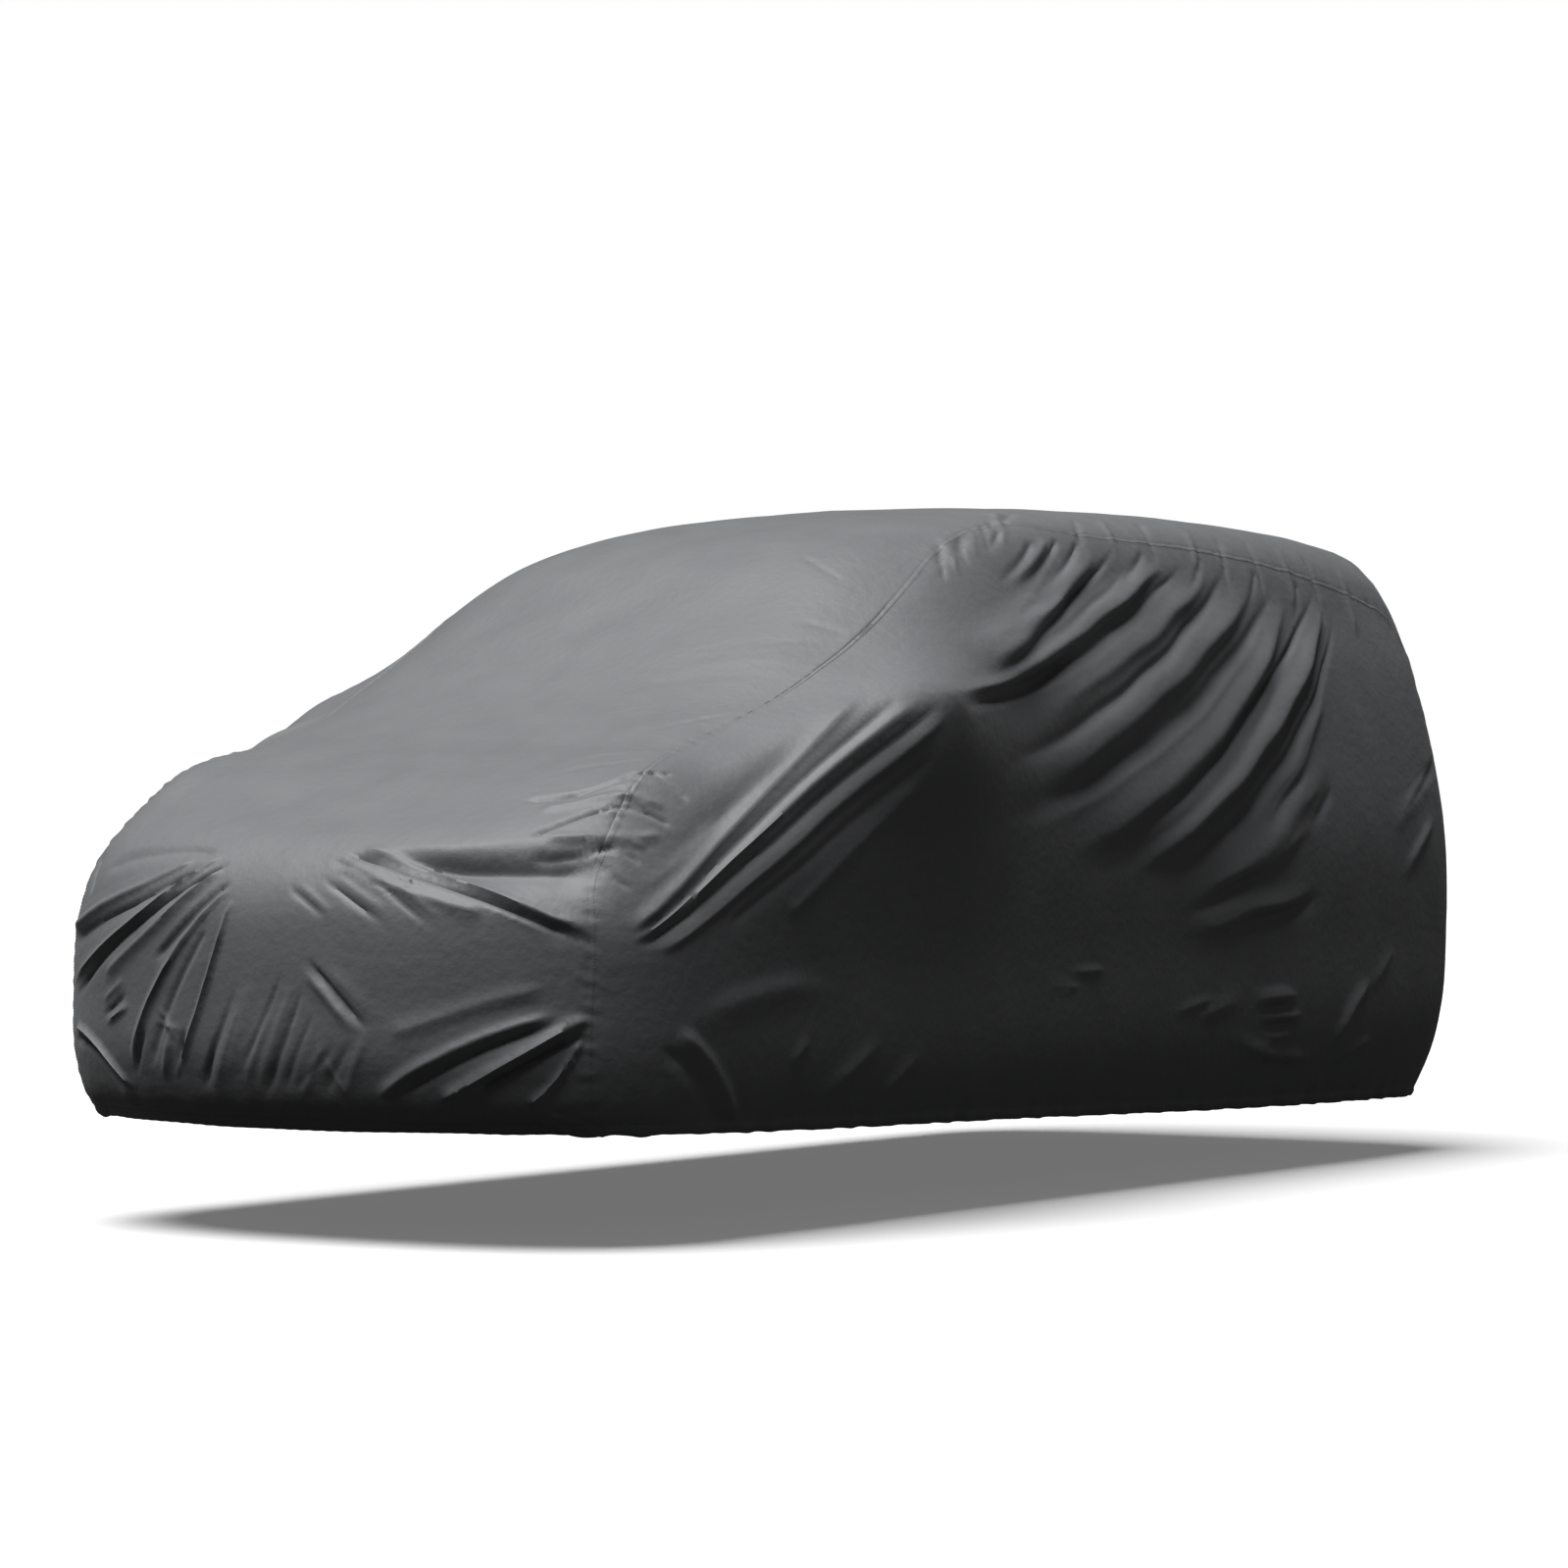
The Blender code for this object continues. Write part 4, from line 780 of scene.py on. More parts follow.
# Sewing: the felled seams lie flat on the side panels, and the hem is turned over its elastic
sewing = {
    "seamReach": 0.15, "groove": 0.0007, "grooveWidth": 0.0022,
    "fell": 0.0009, "fellWidth": 0.0095, "fellRise": 0.002, "fellGroove": 0.0005,
    # short and long puckers, how strong the long ones are, how they stray and come and go
    "frontPuckers": (0.027, 0.047), "roofPuckers": (0.053, 0.125), "roofFrom": (0.85, 1.15),
    "longPucker": 1.3, "puckerStray": 2.0, "strayLength": 0.25, "puckerSeeds": (31, 32),
    "puckerShare": (0.55, 0.45), "shareLength": 0.16, "puckerScale": 0.6,
    "pucker": np.array([    # y, height of the puckers, how far they reach from the seam
        [-0.70, 0.0010, 0.018], [-0.36, 0.0026, 0.024], [-0.10, 0.0018, 0.020],
        [0.20, 0.0005, 0.014], [0.80, 0.0008, 0.016], [0.97, 0.0020, 0.035],
        [1.40, 0.0026, 0.045], [1.65, 0.0020, 0.050], [2.90, 0.0020, 0.050],
        [3.15, 0.0010, 0.020],
    ]),
    "shown": np.array([     # y, how much of the seam shows there
        [-0.45, 0.25], [-0.36, 1.40], [0.00, 1.20], [0.30, 1.60], [0.58, 2.40],
        [0.72, 0.90], [0.90, 0.40], [1.00, 1.00], [3.00, 1.00], [3.10, 0.50],
    ]),
    "hemReach": 0.09, "tunnel": 0.0022, "tunnelWidth": 0.025,
    "tunnelGroove": 0.0010, "tunnelGrooveWidth": 0.003,
    "ruffle": 0.0005, "ruffleLength": 0.037, "ruffleRise": 0.050,
    "ruffleStray": 2.0, "ruffleStrayLength": 0.30,
    "ruffleShare": (0.75, 0.35), "ruffleShareLength": 0.2, "ruffleSeeds": (41, 51),
    "stitchPitch": 0.0060, "stitchLength": 0.0044, "stitchWidth": 0.0011,
    "stitchLift": 0.7, "stitchSink": 0.2, "stitchCrest": (0.2, 0.8),
    "seamStitchRow": 0.0075, "hemStitchRow": 0.0245,
}


def alongEdge(points, line, reach):
    # which points lie near a line, how far away, how far along it, and on which side
    tree = KDTree(len(line))
    for k, spot in enumerate(line):
        tree.insert(spot, k)
    tree.balance()
    near = boxAround(line, points, reach)
    found = [tree.find(points[k]) for k in near]
    index = np.array([f[1] for f in found], int)
    runs = np.gradient(line, axis=0)
    step = np.linalg.norm(runs, axis=1)
    runs = runs / step[:, None]
    away = points[near] - line[index]
    forth = (away * runs[index]).sum(1)
    gap = np.sqrt(np.maximum((away ** 2).sum(1) - forth ** 2, 0))
    reached = lengthAlong(line)[index] + forth
    close = gap < reach
    return near[close], gap[close], reached[close], runs[index][close], away[close]


def bump(gap, middle, width):
    return np.exp(-(((gap - middle) / width) ** 2))


def seamWork(points, normals, seams):
    total = np.zeros(len(points))
    straySeed, shareSeed = sewing["puckerSeeds"]
    least, more = sewing["puckerShare"]
    fellWidth, fellRise = sewing["fellWidth"], sewing["fellRise"]
    for hand, line in seams.items():
        near, gap, reached, runs, away = alongEdge(points, line, sewing["seamReach"])
        onPanel = (np.cross(runs, away) * normals[near]).sum(1) * hand < 0
        table = sewing["pucker"]
        height = np.interp(points[near, 1], table[:, 0], table[:, 1])
        fade = np.interp(points[near, 1], table[:, 0], table[:, 2])
        stray = sewing["puckerStray"] * waves(points[near], sewing["strayLength"], straySeed)
        roof = np.interp(points[near, 1], sewing["roofFrom"], (0, 1))
        ripple = np.zeros(len(near))
        for share, kind in ((1 - roof, "frontPuckers"), (roof, "roofPuckers")):
            short, long = sewing[kind]
            fineRipple = np.sin(2 * math.pi * reached / short + stray)
            longRipple = np.sin(2 * math.pi * reached / long + stray + hand)
            ripple += share * (fineRipple + sewing["longPucker"] * longRipple)
        ripple *= least + more * waves(points[near], sewing["shareLength"], shareSeed)
        total[near] += height * ripple * np.exp(-gap / fade) * sewing["puckerScale"]
        shown = np.interp(points[near, 1], sewing["shown"][:, 0], sewing["shown"][:, 1])
        total[near] -= shown * sewing["groove"] * bump(gap, 0, sewing["grooveWidth"])
        fell = sewing["fell"] * rise(np.clip(gap / fellRise, 0, 1))
        fell = fell * rise(np.clip((fellWidth + fellRise - gap) / fellRise, 0, 1))
        fell = fell - sewing["fellGroove"] * bump(gap, fellWidth + fellRise, fellRise)
        total[near] += np.where(onPanel, shown * fell, 0)
    return total


def hemWork(points, hems):
    total = np.zeros(len(points))
    wide = sewing["tunnelWidth"]
    straySeed, shareSeed = sewing["ruffleSeeds"]
    least, more = sewing["ruffleShare"]
    for number, line in enumerate(hems):
        near, gap, reached, _, _ = alongEdge(points, line, sewing["hemReach"])
        tunnel = sewing["tunnel"] * np.sqrt(np.maximum(1 - (2 * gap / wide - 1) ** 2, 0))
        tunnel -= sewing["tunnelGroove"] * bump(gap, wide, sewing["tunnelGrooveWidth"])
        stray = waves(points[near], sewing["ruffleStrayLength"], straySeed + number)
        phase = 2 * math.pi * reached / sewing["ruffleLength"]
        ruffle = np.sin(phase + sewing["ruffleStray"] * stray)
        share = waves(points[near], sewing["ruffleShareLength"], shareSeed + number)
        ruffle *= sewing["ruffle"] * (least + more * share)
        total[near] += tunnel + ruffle * rise(np.clip(1 - gap / sewing["ruffleRise"], 0, 1))
    return total


# The points of a panel's mesh
edging = {
    "rows": (0.003, 0.008, 0.013, 0.020, 0.026, 0.032),     # rows of points along all edges
    "halfFrom": 0.02,               # rows farther in than this have half the points
    # the room that a row keeps from the edge and from the last row, and free points from rows
    "ownClear": 0.85, "rowClear": 0.003, "freeClear": 0.3,
    "probe": 0.001,                 # a step in from the edge, to find which way is in
}
creases = {
    "widest": 0.022, "lowest": 0.0035,          # folds this sharp have rows of points
    "step": 0.0055, "beside": 0.0048,           # along the crest, and to the rows beside it
    "apart": 0.0034, "clear": 0.0045,           # room between these points, and around them
}


def insideRing(points, ring):
    inside = np.zeros(len(points), bool)
    x, y = points.T
    for (x0, y0), (x1, y1) in zip(ring, np.roll(ring, -1, axis=0)):
        if y0 == y1:
            continue
        crosses = (y0 > y) != (y1 > y)
        inside ^= crosses & (x < (x1 - x0) * (y - y0) / (y1 - y0) + x0)
    return inside


def grow(mask):
    # the mask with the places next to it
    wide = mask.copy()
    wide[1:] |= mask[:-1]
    wide[:-1] |= mask[1:]
    wide[:, 1:] |= mask[:, :-1]
    wide[:, :-1] |= mask[:, 1:]
    return wide


def farFrom(points, others, distance):
    # which points keep their distance from others
    cells = {}
    for spot in others:
        i, j = int(spot[0] // distance), int(spot[1] // distance)
        for di in (-1, 0, 1):
            for dj in (-1, 0, 1):
                cells.setdefault((i + di, j + dj), []).append(spot)
    keep = np.ones(len(points), bool)
    for k, (i, j) in enumerate(np.floor(points / distance).astype(int).tolist()):
        near = cells.get((i, j))
        if near is not None:
            keep[k] = ((np.array(near) - points[k]) ** 2).sum(1).min() > distance * distance
    return keep


def edgeRows(ring):
    # rows of points that run along the edge, inside it
    ahead = np.roll(ring, -1, axis=0) - np.roll(ring, 1, axis=0)
    inwards = leftOf(ahead)
    if not insideRing(ring[:1] + edging["probe"] * inwards[:1], ring)[0]:
        inwards = -inwards
    rows = []
    for away in edging["rows"]:
        row = ring + away * inwards
        row = row[insideRing(row, ring) & farFrom(row, ring, edging["ownClear"] * away)]
        if rows:
            row = row[farFrom(row, rows[-1], edging["rowClear"])]
        rows.append(row[:: 1 if away < edging["halfFrom"] else 2])
    return np.concatenate(rows)


def creaseRows(foldList, ring, toPattern, hand):
    # points along the crests of the sharp folds, and a row on each side of them
    kept, cells, apart = [], {}, creases["apart"]
    for one in foldList:
        sharp = one["width"] <= creases["widest"] and abs(one["height"]) >= creases["lowest"]
        if not (one["main"] and sharp):
            continue
        spots = spaced(one["line"], creases["step"])
        if hand * spots[:, 0].mean() < 0:
            continue
        middle = toPattern(spots - one["wander"] * strayOf(spots))
        across = leftOf(np.gradient(middle, axis=0))
        inside = insideRing(middle, ring)
        middle, across = middle[inside], across[inside]
        for away in (0, creases["beside"], -creases["beside"]):
            for x, y in (middle + away * across).tolist():
                i, j = int(x // apart), int(y // apart)
                near = [cells.get((i + di, j + dj)) for di in (-1, 0, 1) for dj in (-1, 0, 1)]
                if all(n is None or math.dist(n, (x, y)) > apart for n in near):
                    cells[i, j] = (x, y)
                    kept.append((x, y))
    kept = np.array(kept)
    return kept[insideRing(kept, ring)]


def clothPoints(ring, onto, place, step, crests):
    # a lattice over the pattern, finer where the cloth bends and thinned where it is smooth
    wide = 2 * step
    low, high = ring.min(0) - wide, ring.max(0) + wide
    lines = [np.arange(a, b, wide) for a, b in zip(low, high)]
    grid = np.stack(np.meshgrid(*lines, indexing="ij"), -1)
    shape = grid.shape[:2]
    flat = grid.reshape(-1, 2)
    inside = insideRing(flat, ring)
    spots, heights = np.zeros((len(flat), 3)), np.zeros(len(flat))
    spots[inside], heights[inside] = place(onto(flat[inside]))
    heights, inside = heights.reshape(shape), inside.reshape(shape)
    bend = np.zeros(shape)
    bend[1:-1] += np.abs(np.diff(heights, 2, axis=0))
    bend[:, 1:-1] += np.abs(np.diff(heights, 2, axis=1))
    fine = grow(bend > sheet["fineBend"]) & inside
    medium = grow((bend > sheet["mediumBend"]) | fine)
    i, j = np.indices(shape)
    wanted = (inside & (medium | ((i % 2 == 0) & (j % 2 == 0)))).ravel()
    corners = flat[fine.ravel()]
    between = np.concatenate([corners + np.array(s) * step for s in ((1, 0), (0, 1), (1, 1))])
    between = between[insideRing(between, ring)]
    rows = edgeRows(ring)
    free = np.concatenate([flat[wanted], between])
    freeSpots = np.concatenate([spots[wanted], place(onto(between))[0]])
    keep = farFrom(free, crests, creases["clear"])
    free = np.concatenate([crests, free[keep]])
    freeSpots = np.concatenate([place(onto(crests))[0], freeSpots[keep]])
    keep = farFrom(free, ring, max(edging["rows"]) + edging["freeClear"] * step)
    free, freeSpots = free[keep], freeSpots[keep]
    return np.concatenate([rows, free]), np.concatenate([place(onto(rows))[0], freeSpots])


def vertexNormals(spots, faces):
    a, b, c = (spots[faces[:, k]] for k in range(3))
    areas = np.cross(b - a, c - a)
    total = np.zeros_like(spots)
    for k in range(3):
        for axis in range(3):
            total[:, axis] += np.bincount(faces[:, k], areas[:, axis], len(spots))
    return total


def rimEdges(faces):
    ends = np.concatenate([faces[:, [0, 1]], faces[:, [1, 2]], faces[:, [2, 0]]])
    size = faces.max() + 1
    forward, backward = ends[:, 0] * size + ends[:, 1], ends[:, 1] * size + ends[:, 0]
    return ends[~np.isin(forward, backward)]


def meshObject(name, points, corners, sizes, material, uv=None):
    mesh = bpy.data.meshes.new(name)
    mesh.vertices.add(len(points))
    mesh.vertices.foreach_set("co", points.astype(np.float32).ravel())
    mesh.loops.add(len(corners))
    mesh.loops.foreach_set("vertex_index", corners.astype(np.int32))
    mesh.polygons.add(len(sizes))
    starts = np.concatenate([[0], np.cumsum(sizes)[:-1]])
    mesh.polygons.foreach_set("loop_start", starts.astype(np.int32))
    mesh.polygons.foreach_set("loop_total", sizes.astype(np.int32))
    mesh.update(calc_edges=True)
    if uv is not None:
        layer = mesh.uv_layers.new(name="flatPattern")
        layer.data.foreach_set("uv", uv[corners].astype(np.float32).ravel())
    mesh.validate()
    mesh.materials.append(material)
    mesh.shade_smooth()
    item = bpy.data.objects.new(name, mesh)
    bpy.context.scene.collection.objects.link(item)
    return item


def sheetObject(name, spots, flat, normals, faces, material):
    count = len(spots)
    points = np.concatenate([spots, spots - sheet["thickness"] * normals])
    rim = rimEdges(faces)
    quads = np.stack([rim[:, 1], rim[:, 0], rim[:, 0] + count, rim[:, 1] + count], 1)
    corners = np.concatenate([faces.ravel(), (faces[:, ::-1] + count).ravel(), quads.ravel()])
    sizes = np.concatenate([np.full(2 * len(faces), 3), np.full(len(quads), 4)])
    item = meshObject(name, points, corners, sizes, material, np.concatenate([flat, flat]))
    item.data.set_sharp_from_angle(angle=math.radians(sheet["sharp"]))
    return item


def stitchRow(flatLine, away, onto, place):
    # pairs of ends of the stitches in a row beside an edge, and the way out of the cloth there
    inwards = leftOf(np.gradient(flatLine, axis=0))
    row = spaced(flatLine + away * inwards, sewing["stitchPitch"])
    forth = np.gradient(row, axis=0)
    forth = forth / np.linalg.norm(forth, axis=1)[:, None] * sewing["stitchLength"] / 2
    return place(onto(row - forth))[0], place(onto(row + forth))[0], normalsOf(onto(row))


def stitchObject(name, rows, rest, material):
    # each stitch is a small hump of thread: a ridge between two points over a foot of four
    points, corners = [], []
    for starts, ends, out in rows:
        for a, b, n in zip(starts, ends, out):
            run = (b - a) / np.linalg.norm(b - a)
            across = np.cross(n, run) * sewing["stitchWidth"] / 2
            lift = n * sewing["stitchWidth"] * sewing["stitchLift"]
            first, sink = len(points), sewing["stitchSink"] * lift
            points += [a - across - sink, a + across - sink, b + across - sink, b - across - sink]
            points += [a + (b - a) * share + lift for share in sewing["stitchCrest"]]
            for face in ((0, 4, 5, 3), (1, 2, 5, 4)):
                corners.append([first + k for k in face])
            corners += [[first, first + 1, first + 4], [first + 2, first + 3, first + 5]]
    sizes = np.array([len(c) for c in corners])
    return meshObject(name, np.array(points) - rest, np.concatenate(corners), sizes, material)


def meshPanel(name, panel, place, foldList):
    # the flat ring of the panel filled with points, and the triangles between them
    toPattern, onto, ring, seamOf = (panel[k] for k in ("toPattern", "onto", "ring", "seamOf"))
    flatRing = toPattern(ring)
    crests = creaseRows(foldList, flatRing, toPattern, panel["hand"])
    free, freeSpots = clothPoints(flatRing, onto, place, sheet["steps"][name], crests)
    count = len(ring)
    points = [tuple(p) for p in np.concatenate([flatRing, free])]
    loop = [(k, (k + 1) % count) for k in range(count)]
    # kind 1 keeps only the triangles inside the ring
    flat, _, faces, sources, _, _ = delaunay_2d_cdt(
        points, loop, [list(range(count))], 1, sheet["weld"],
    )
    flat = np.array([tuple(v) for v in flat])
    faces = np.array([list(f) for f in faces])
    origin = np.array([min(s) for s in sources])
    spots = np.concatenate([place(ring)[0], freeSpots])[origin]
    normals = vertexNormals(spots, faces)
    if (normals * (spots - spots.mean(0))).sum() < 0:
        faces, normals = faces[:, ::-1], -normals
    onSeam = {v: seamOf[o] for v, o in enumerate(origin.tolist()) if o in seamOf}
    print(name, len(spots), "points", 2 * len(faces), "triangles")
    return spots, flat, faces, normals, onSeam


def coverPanels(cloth, thread):
    left, right = seamLine(1), seamLine(-1)
    seams, hems = {1: left, -1: right}, hemLines(left, right)
    hemRuns = {
        "front": np.concatenate([right[:1], hems["front"], left[:1]]),
        "back": np.concatenate([right[-1:], hems["back"], left[-1:]]),
        1: np.concatenate([left[:1], hems[1], left[-1:]]),
        -1: np.concatenate([right[:1], hems[-1], right[-1:]]),
    }
    edges = {"seams": seams, "hems": list(hemRuns.values())}
    foldList = allFolds()
    print("folds", len(foldList))

    def place(points):
        normals = normalsOf(points)
        heights = raised(points, normals, foldList, edges)
        return points + heights[:, None] * normals, heights

    # a panel's ring goes round its edges, seamOf says which of the ring's points lie on a seam,
    # and sewn gives the lines that its stitches run beside
    seamRow, hemRow = -sewing["seamStitchRow"], sewing["hemStitchRow"]
    leftFrom = len(right) + len(hems["front"])
    onBoth = {len(right) - 1 - k: (-1, k) for k in range(len(right))}
    onBoth.update({leftFrom + k: (1, k) for k in range(len(left))})
    panels = {"stripCloth": {
        "hand": 0, "toPattern": stripPattern, "onto": stripOntoForm, "seamOf": onBoth,
        "ring": np.concatenate([right[::-1], hems["front"], left, hems["back"][::-1]]),
        "sewn": [
            (stripPattern(hemRuns["front"]), hemRow),
            (stripPattern(hemRuns["back"])[::-1], hemRow),
        ],
    }}
    for name, hand in (("leftCloth", 1), ("rightCloth", -1)):
        line = seams[hand]
        panels[name] = {
            "hand": hand, "toPattern": sidePattern,
            "onto": functools.partial(sideOntoForm, hand=hand),
            "seamOf": {k: (hand, k) for k in range(len(line))},
            "ring": np.concatenate([line, hems[hand][::-1]]),
            "sewn": [(sidePattern(line), seamRow), (sidePattern(hemRuns[hand]), hemRow)],
        }
    made = {name: meshPanel(name, panel, place, foldList) for name, panel in panels.items()}
    # the panels at a seam share its normals, so that no line of shade shows along it
    shared = {}
    for *_, normals, onSeam in made.values():
        for vertex, key in onSeam.items():
            shared[key] = shared.get(key, 0) + normals[vertex]
    rest = topAt(np.zeros(1), sheet["restY"])[0] - np.array([0.0, 0.0, sheet["solidCloth"]])
    items = {}
    for name, (spots, flat, faces, normals, onSeam) in made.items():
        for vertex, key in onSeam.items():
            normals[vertex] = shared[key]
        normals /= np.linalg.norm(normals, axis=1)[:, None]
        items[name] = sheetObject(name, spots - rest, flat, normals, faces, cloth)
        panel, threadName = panels[name], name.replace("Cloth", "Stitches")
        rows = [stitchRow(line, away, panel["onto"], place) for line, away in panel["sewn"]]
        items[threadName] = stitchObject(threadName, rows, rest, thread)
        print("sewn", name)
    return items, rest


# Finishes
satin = {
    "dark": (0.096, 0.099, 0.104, 1), "pale": (0.114, 0.117, 0.122, 1),
    "mottleScale": 9.0, "mottleDetail": 6, "roughness": (0.48, 0.60), "specular": 0.30,
    "sheen": 0.06, "sheenRoughness": 0.40,
    "crumpleScale": 42.0, "crumpleDetail": 4, "crumpleDepth": 0.0016,
    "threadPitch": 0.0011, "threadDepth": 0.00003, "threadWander": 0.6,
    "wavePitch": 0.314,         # width of a wave at scale 1
}


def satinPolyester():
    material = bpy.data.materials.new("satinPolyester")
    material.use_nodes = True
    tree = material.node_tree
    surface = tree.nodes["Principled BSDF"]
    surface.inputs["Specular IOR Level"].default_value = satin["specular"]
    surface.inputs["Sheen Weight"].default_value = satin["sheen"]
    surface.inputs["Sheen Roughness"].default_value = satin["sheenRoughness"]
    place = tree.nodes.new("ShaderNodeTexCoord")
    mottle = tree.nodes.new("ShaderNodeTexNoise")
    mottle.inputs["Scale"].default_value = satin["mottleScale"]
    mottle.inputs["Detail"].default_value = satin["mottleDetail"]
    tree.links.new(place.outputs["Object"], mottle.inputs["Vector"])
    colour = tree.nodes.new("ShaderNodeMix")
    colour.data_type = "RGBA"
    colour.inputs[6].default_value = satin["dark"]
    colour.inputs[7].default_value = satin["pale"]
    tree.links.new(mottle.outputs["Fac"], colour.inputs[0])
    tree.links.new(colour.outputs[2], surface.inputs["Base Color"])
    gloss = tree.nodes.new("ShaderNodeMapRange")
    gloss.inputs["To Min"].default_value, gloss.inputs["To Max"].default_value = satin["roughness"]
    tree.links.new(mottle.outputs["Fac"], gloss.inputs["Value"])
    tree.links.new(gloss.outputs["Result"], surface.inputs["Roughness"])
    # fine crumples, then the warp and weft, which follow each panel's own pattern
    crumple = tree.nodes.new("ShaderNodeTexNoise")
    crumple.inputs["Scale"].default_value = satin["crumpleScale"]
    crumple.inputs["Detail"].default_value = satin["crumpleDetail"]
    tree.links.new(place.outputs["Object"], crumple.inputs["Vector"])
    crumpled = tree.nodes.new("ShaderNodeBump")
    crumpled.inputs["Distance"].default_value = satin["crumpleDepth"]
    tree.links.new(crumple.outputs["Fac"], crumpled.inputs["Height"])
    woven = tree.nodes.new("ShaderNodeBump")
    woven.inputs["Distance"].default_value = satin["threadDepth"]
    threads = tree.nodes.new("ShaderNodeMath")
    threads.operation = "MULTIPLY"
    for slot, direction in enumerate(("X", "Y")):
        thread = tree.nodes.new("ShaderNodeTexWave")
        thread.bands_direction = direction
        thread.inputs["Scale"].default_value = satin["wavePitch"] / satin["threadPitch"]
        thread.inputs["Distortion"].default_value = satin["threadWander"]
        tree.links.new(place.outputs["UV"], thread.inputs["Vector"])
        tree.links.new(thread.outputs["Fac"], threads.inputs[slot])
    tree.links.new(threads.outputs["Value"], woven.inputs["Height"])
    tree.links.new(crumpled.outputs["Normal"], woven.inputs["Normal"])
    tree.links.new(woven.outputs["Normal"], surface.inputs["Normal"])
    return material


threadLook = {
    "dark": (0.045, 0.046, 0.049, 1), "pale": (0.10, 0.102, 0.107, 1),
    "roughness": 0.6, "twistScale": 900,
}


def sewingThread():
    material = bpy.data.materials.new("sewingThread")
    material.use_nodes = True
    tree = material.node_tree
    surface = tree.nodes["Principled BSDF"]
    surface.inputs["Roughness"].default_value = threadLook["roughness"]
    twist = tree.nodes.new("ShaderNodeTexNoise")
    twist.inputs["Scale"].default_value = threadLook["twistScale"]
    colour = tree.nodes.new("ShaderNodeMix")
    colour.data_type = "RGBA"
    colour.inputs[6].default_value = threadLook["dark"]
    colour.inputs[7].default_value = threadLook["pale"]
    place = tree.nodes.new("ShaderNodeTexCoord")
    tree.links.new(place.outputs["Object"], twist.inputs["Vector"])
    tree.links.new(twist.outputs["Fac"], colour.inputs[0])
    tree.links.new(colour.outputs[2], surface.inputs["Base Color"])
    return material


items, rest = coverPanels(satinPolyester(), sewingThread())
for name, node, flat, area, restsOn in (
    ("stripCloth", "centre_panel", (1.42, 5.40), 7.3, []),
    ("leftCloth", "side_panel_left", (1.45, 3.80), 4.4, ["stripCloth"]),
    ("rightCloth", "side_panel_right", (1.45, 3.80), 4.4, ["stripCloth"]),
):
    stitched = items[name.replace("Cloth", "Stitches")]
    for item in (items[name], stitched):
        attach(item, "root")
    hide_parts(node)
    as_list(restsOn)
print("cover made")

# The stage: a plain pale floor, soft light from above, and the camera at the photograph's angle
stage = {
    "floorSize": 400.0, "floorColour": (0.52, 0.52, 0.52, 1),
    "camera": (6.55, -8.22, 0.87), "yaw": 35.2, "pitch": 0.3, "roll": -0.32,
    "lens": 114.1, "sensor": 36.0, "shift": (0.0122, 0.0310),
    "key": ((-0.16, -0.22, 0.96), 6.8, 48.0),       # where from, how bright, how wide in degrees
    "fill": ((0.95, 0.05, 0.20), 0.13, 40.0),
    "sky": 0.05, "white": (1, 1, 1, 1),
    "floorHaze": 0.16, "floorBounce": (0.03, 0.03, 0.03, 1),
}


def makeCamera():
    yaw, pitch, roll = (math.radians(stage[k]) for k in ("yaw", "pitch", "roll"))
    level = Vector((math.cos(yaw), math.sin(yaw), 0))
    forth = Vector((-math.sin(yaw), math.cos(yaw), 0))
    ahead = math.cos(pitch) * forth - Vector((0, 0, math.sin(pitch)))
    upright = level.cross(ahead)
    right = math.cos(roll) * level + math.sin(roll) * upright
    up = -math.sin(roll) * level + math.cos(roll) * upright
    data = bpy.data.cameras.new("studioCamera")
    data.lens, data.sensor_width = stage["lens"], stage["sensor"]
    data.shift_x, data.shift_y = stage["shift"]
    camera = bpy.data.objects.new("studioCamera", data)
    turn = Matrix((right, up, -ahead)).transposed()
    camera.matrix_world = Matrix.Translation(Vector(stage["camera"]) - Vector(rest)) @ turn.to_4x4()
    bpy.context.scene.collection.objects.link(camera)
    bpy.context.scene.camera = camera


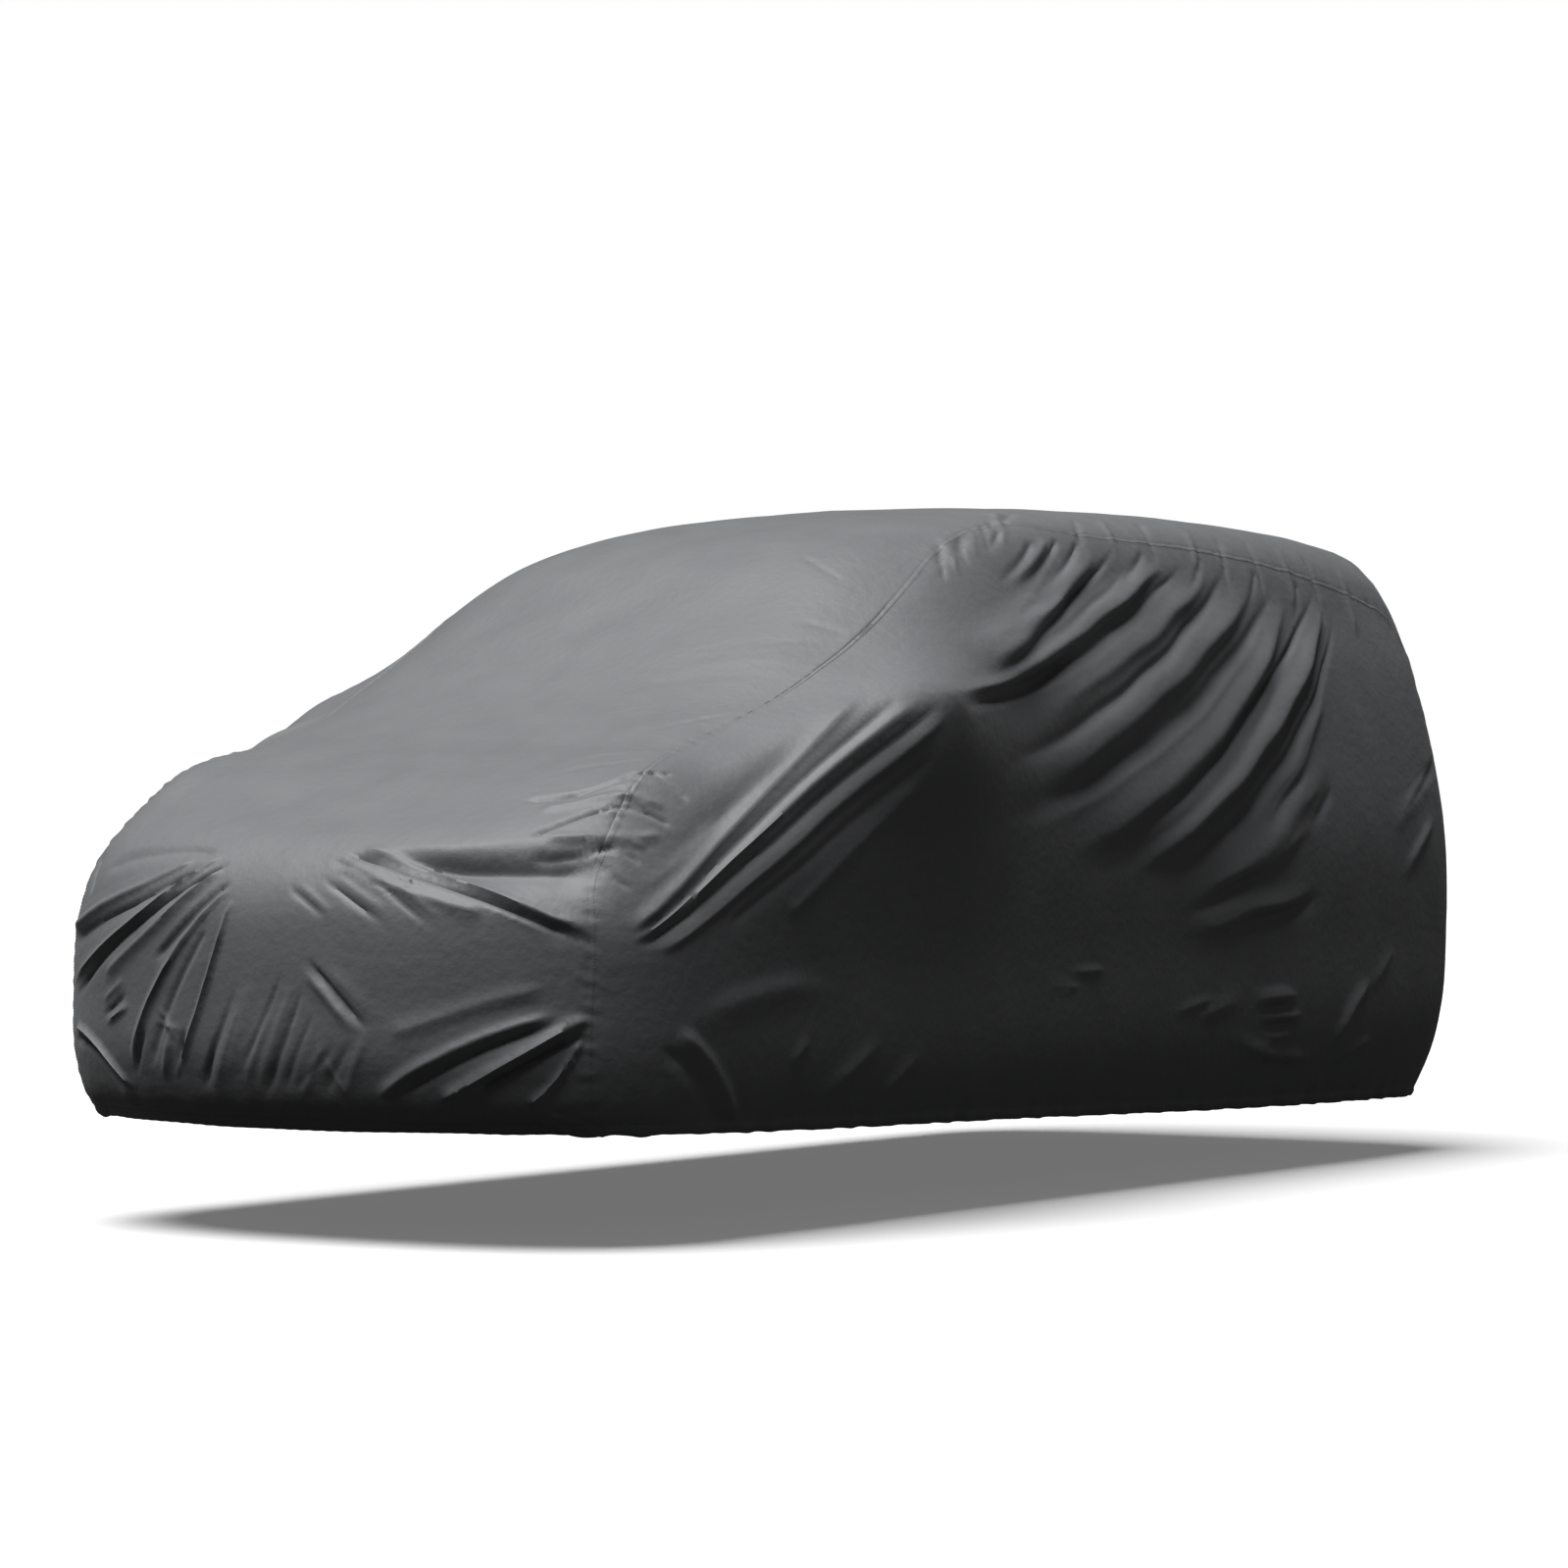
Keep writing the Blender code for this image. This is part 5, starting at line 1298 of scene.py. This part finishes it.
def makeFloor():
    material = bpy.data.materials.new("paleFloor")
    material.use_nodes = True
    # the floor looks pale but throws little light back up, as it would in a dark studio,
    # and a haze over it lifts the shadow under the hem to a grey
    tree = material.node_tree
    tree.nodes.remove(tree.nodes["Principled BSDF"])
    seen = tree.nodes.new("ShaderNodeLightPath")
    mix = tree.nodes.new("ShaderNodeMixShader")
    tree.links.new(seen.outputs["Is Camera Ray"], mix.inputs["Fac"])
    haze = tree.nodes.new("ShaderNodeEmission")
    haze.inputs["Strength"].default_value = stage["floorHaze"]
    both = tree.nodes.new("ShaderNodeAddShader")
    for socket, colour in ((mix.inputs[1], "floorBounce"), (both.inputs[0], "floorColour")):
        plain = tree.nodes.new("ShaderNodeBsdfDiffuse")
        plain.inputs["Color"].default_value = stage[colour]
        tree.links.new(plain.outputs["BSDF"], socket)
    tree.links.new(haze.outputs["Emission"], both.inputs[1])
    tree.links.new(both.outputs["Shader"], mix.inputs[2])
    tree.links.new(mix.outputs["Shader"], tree.nodes["Material Output"].inputs["Surface"])
    bpy.ops.mesh.primitive_plane_add(size=stage["floorSize"], location=(0, 0, -rest[2]))
    floor = bpy.context.object
    floor.name = "studioFloor"
    floor.data.materials.append(material)


def makeLight():
    for name in ("key", "fill"):
        where, power, width = stage[name]
        data = bpy.data.lights.new(name + "Light", "SUN")
        data.energy, data.angle = power, math.radians(width)
        light = bpy.data.objects.new(name + "Light", data)
        light.rotation_euler = Vector(where).to_track_quat("Z", "Y").to_euler()
        bpy.context.scene.collection.objects.link(light)
    world = bpy.data.worlds.new("studioWorld")
    world.use_nodes = True
    tree = world.node_tree
    dim = tree.nodes["Background"]
    dim.inputs["Color"].default_value = stage["white"]
    dim.inputs["Strength"].default_value = stage["sky"]
    bright = tree.nodes.new("ShaderNodeBackground")
    bright.inputs["Color"].default_value = stage["white"]
    seen = tree.nodes.new("ShaderNodeLightPath")
    mix = tree.nodes.new("ShaderNodeMixShader")
    tree.links.new(seen.outputs["Is Camera Ray"], mix.inputs["Fac"])
    tree.links.new(dim.outputs["Background"], mix.inputs[1])
    tree.links.new(bright.outputs["Background"], mix.inputs[2])
    tree.links.new(mix.outputs["Shader"], tree.nodes["World Output"].inputs["Surface"])
    bpy.context.scene.world = world


makeCamera()
makeFloor()
makeLight()
bpy.context.scene.view_settings.view_transform = "Standard"
print("stage set")
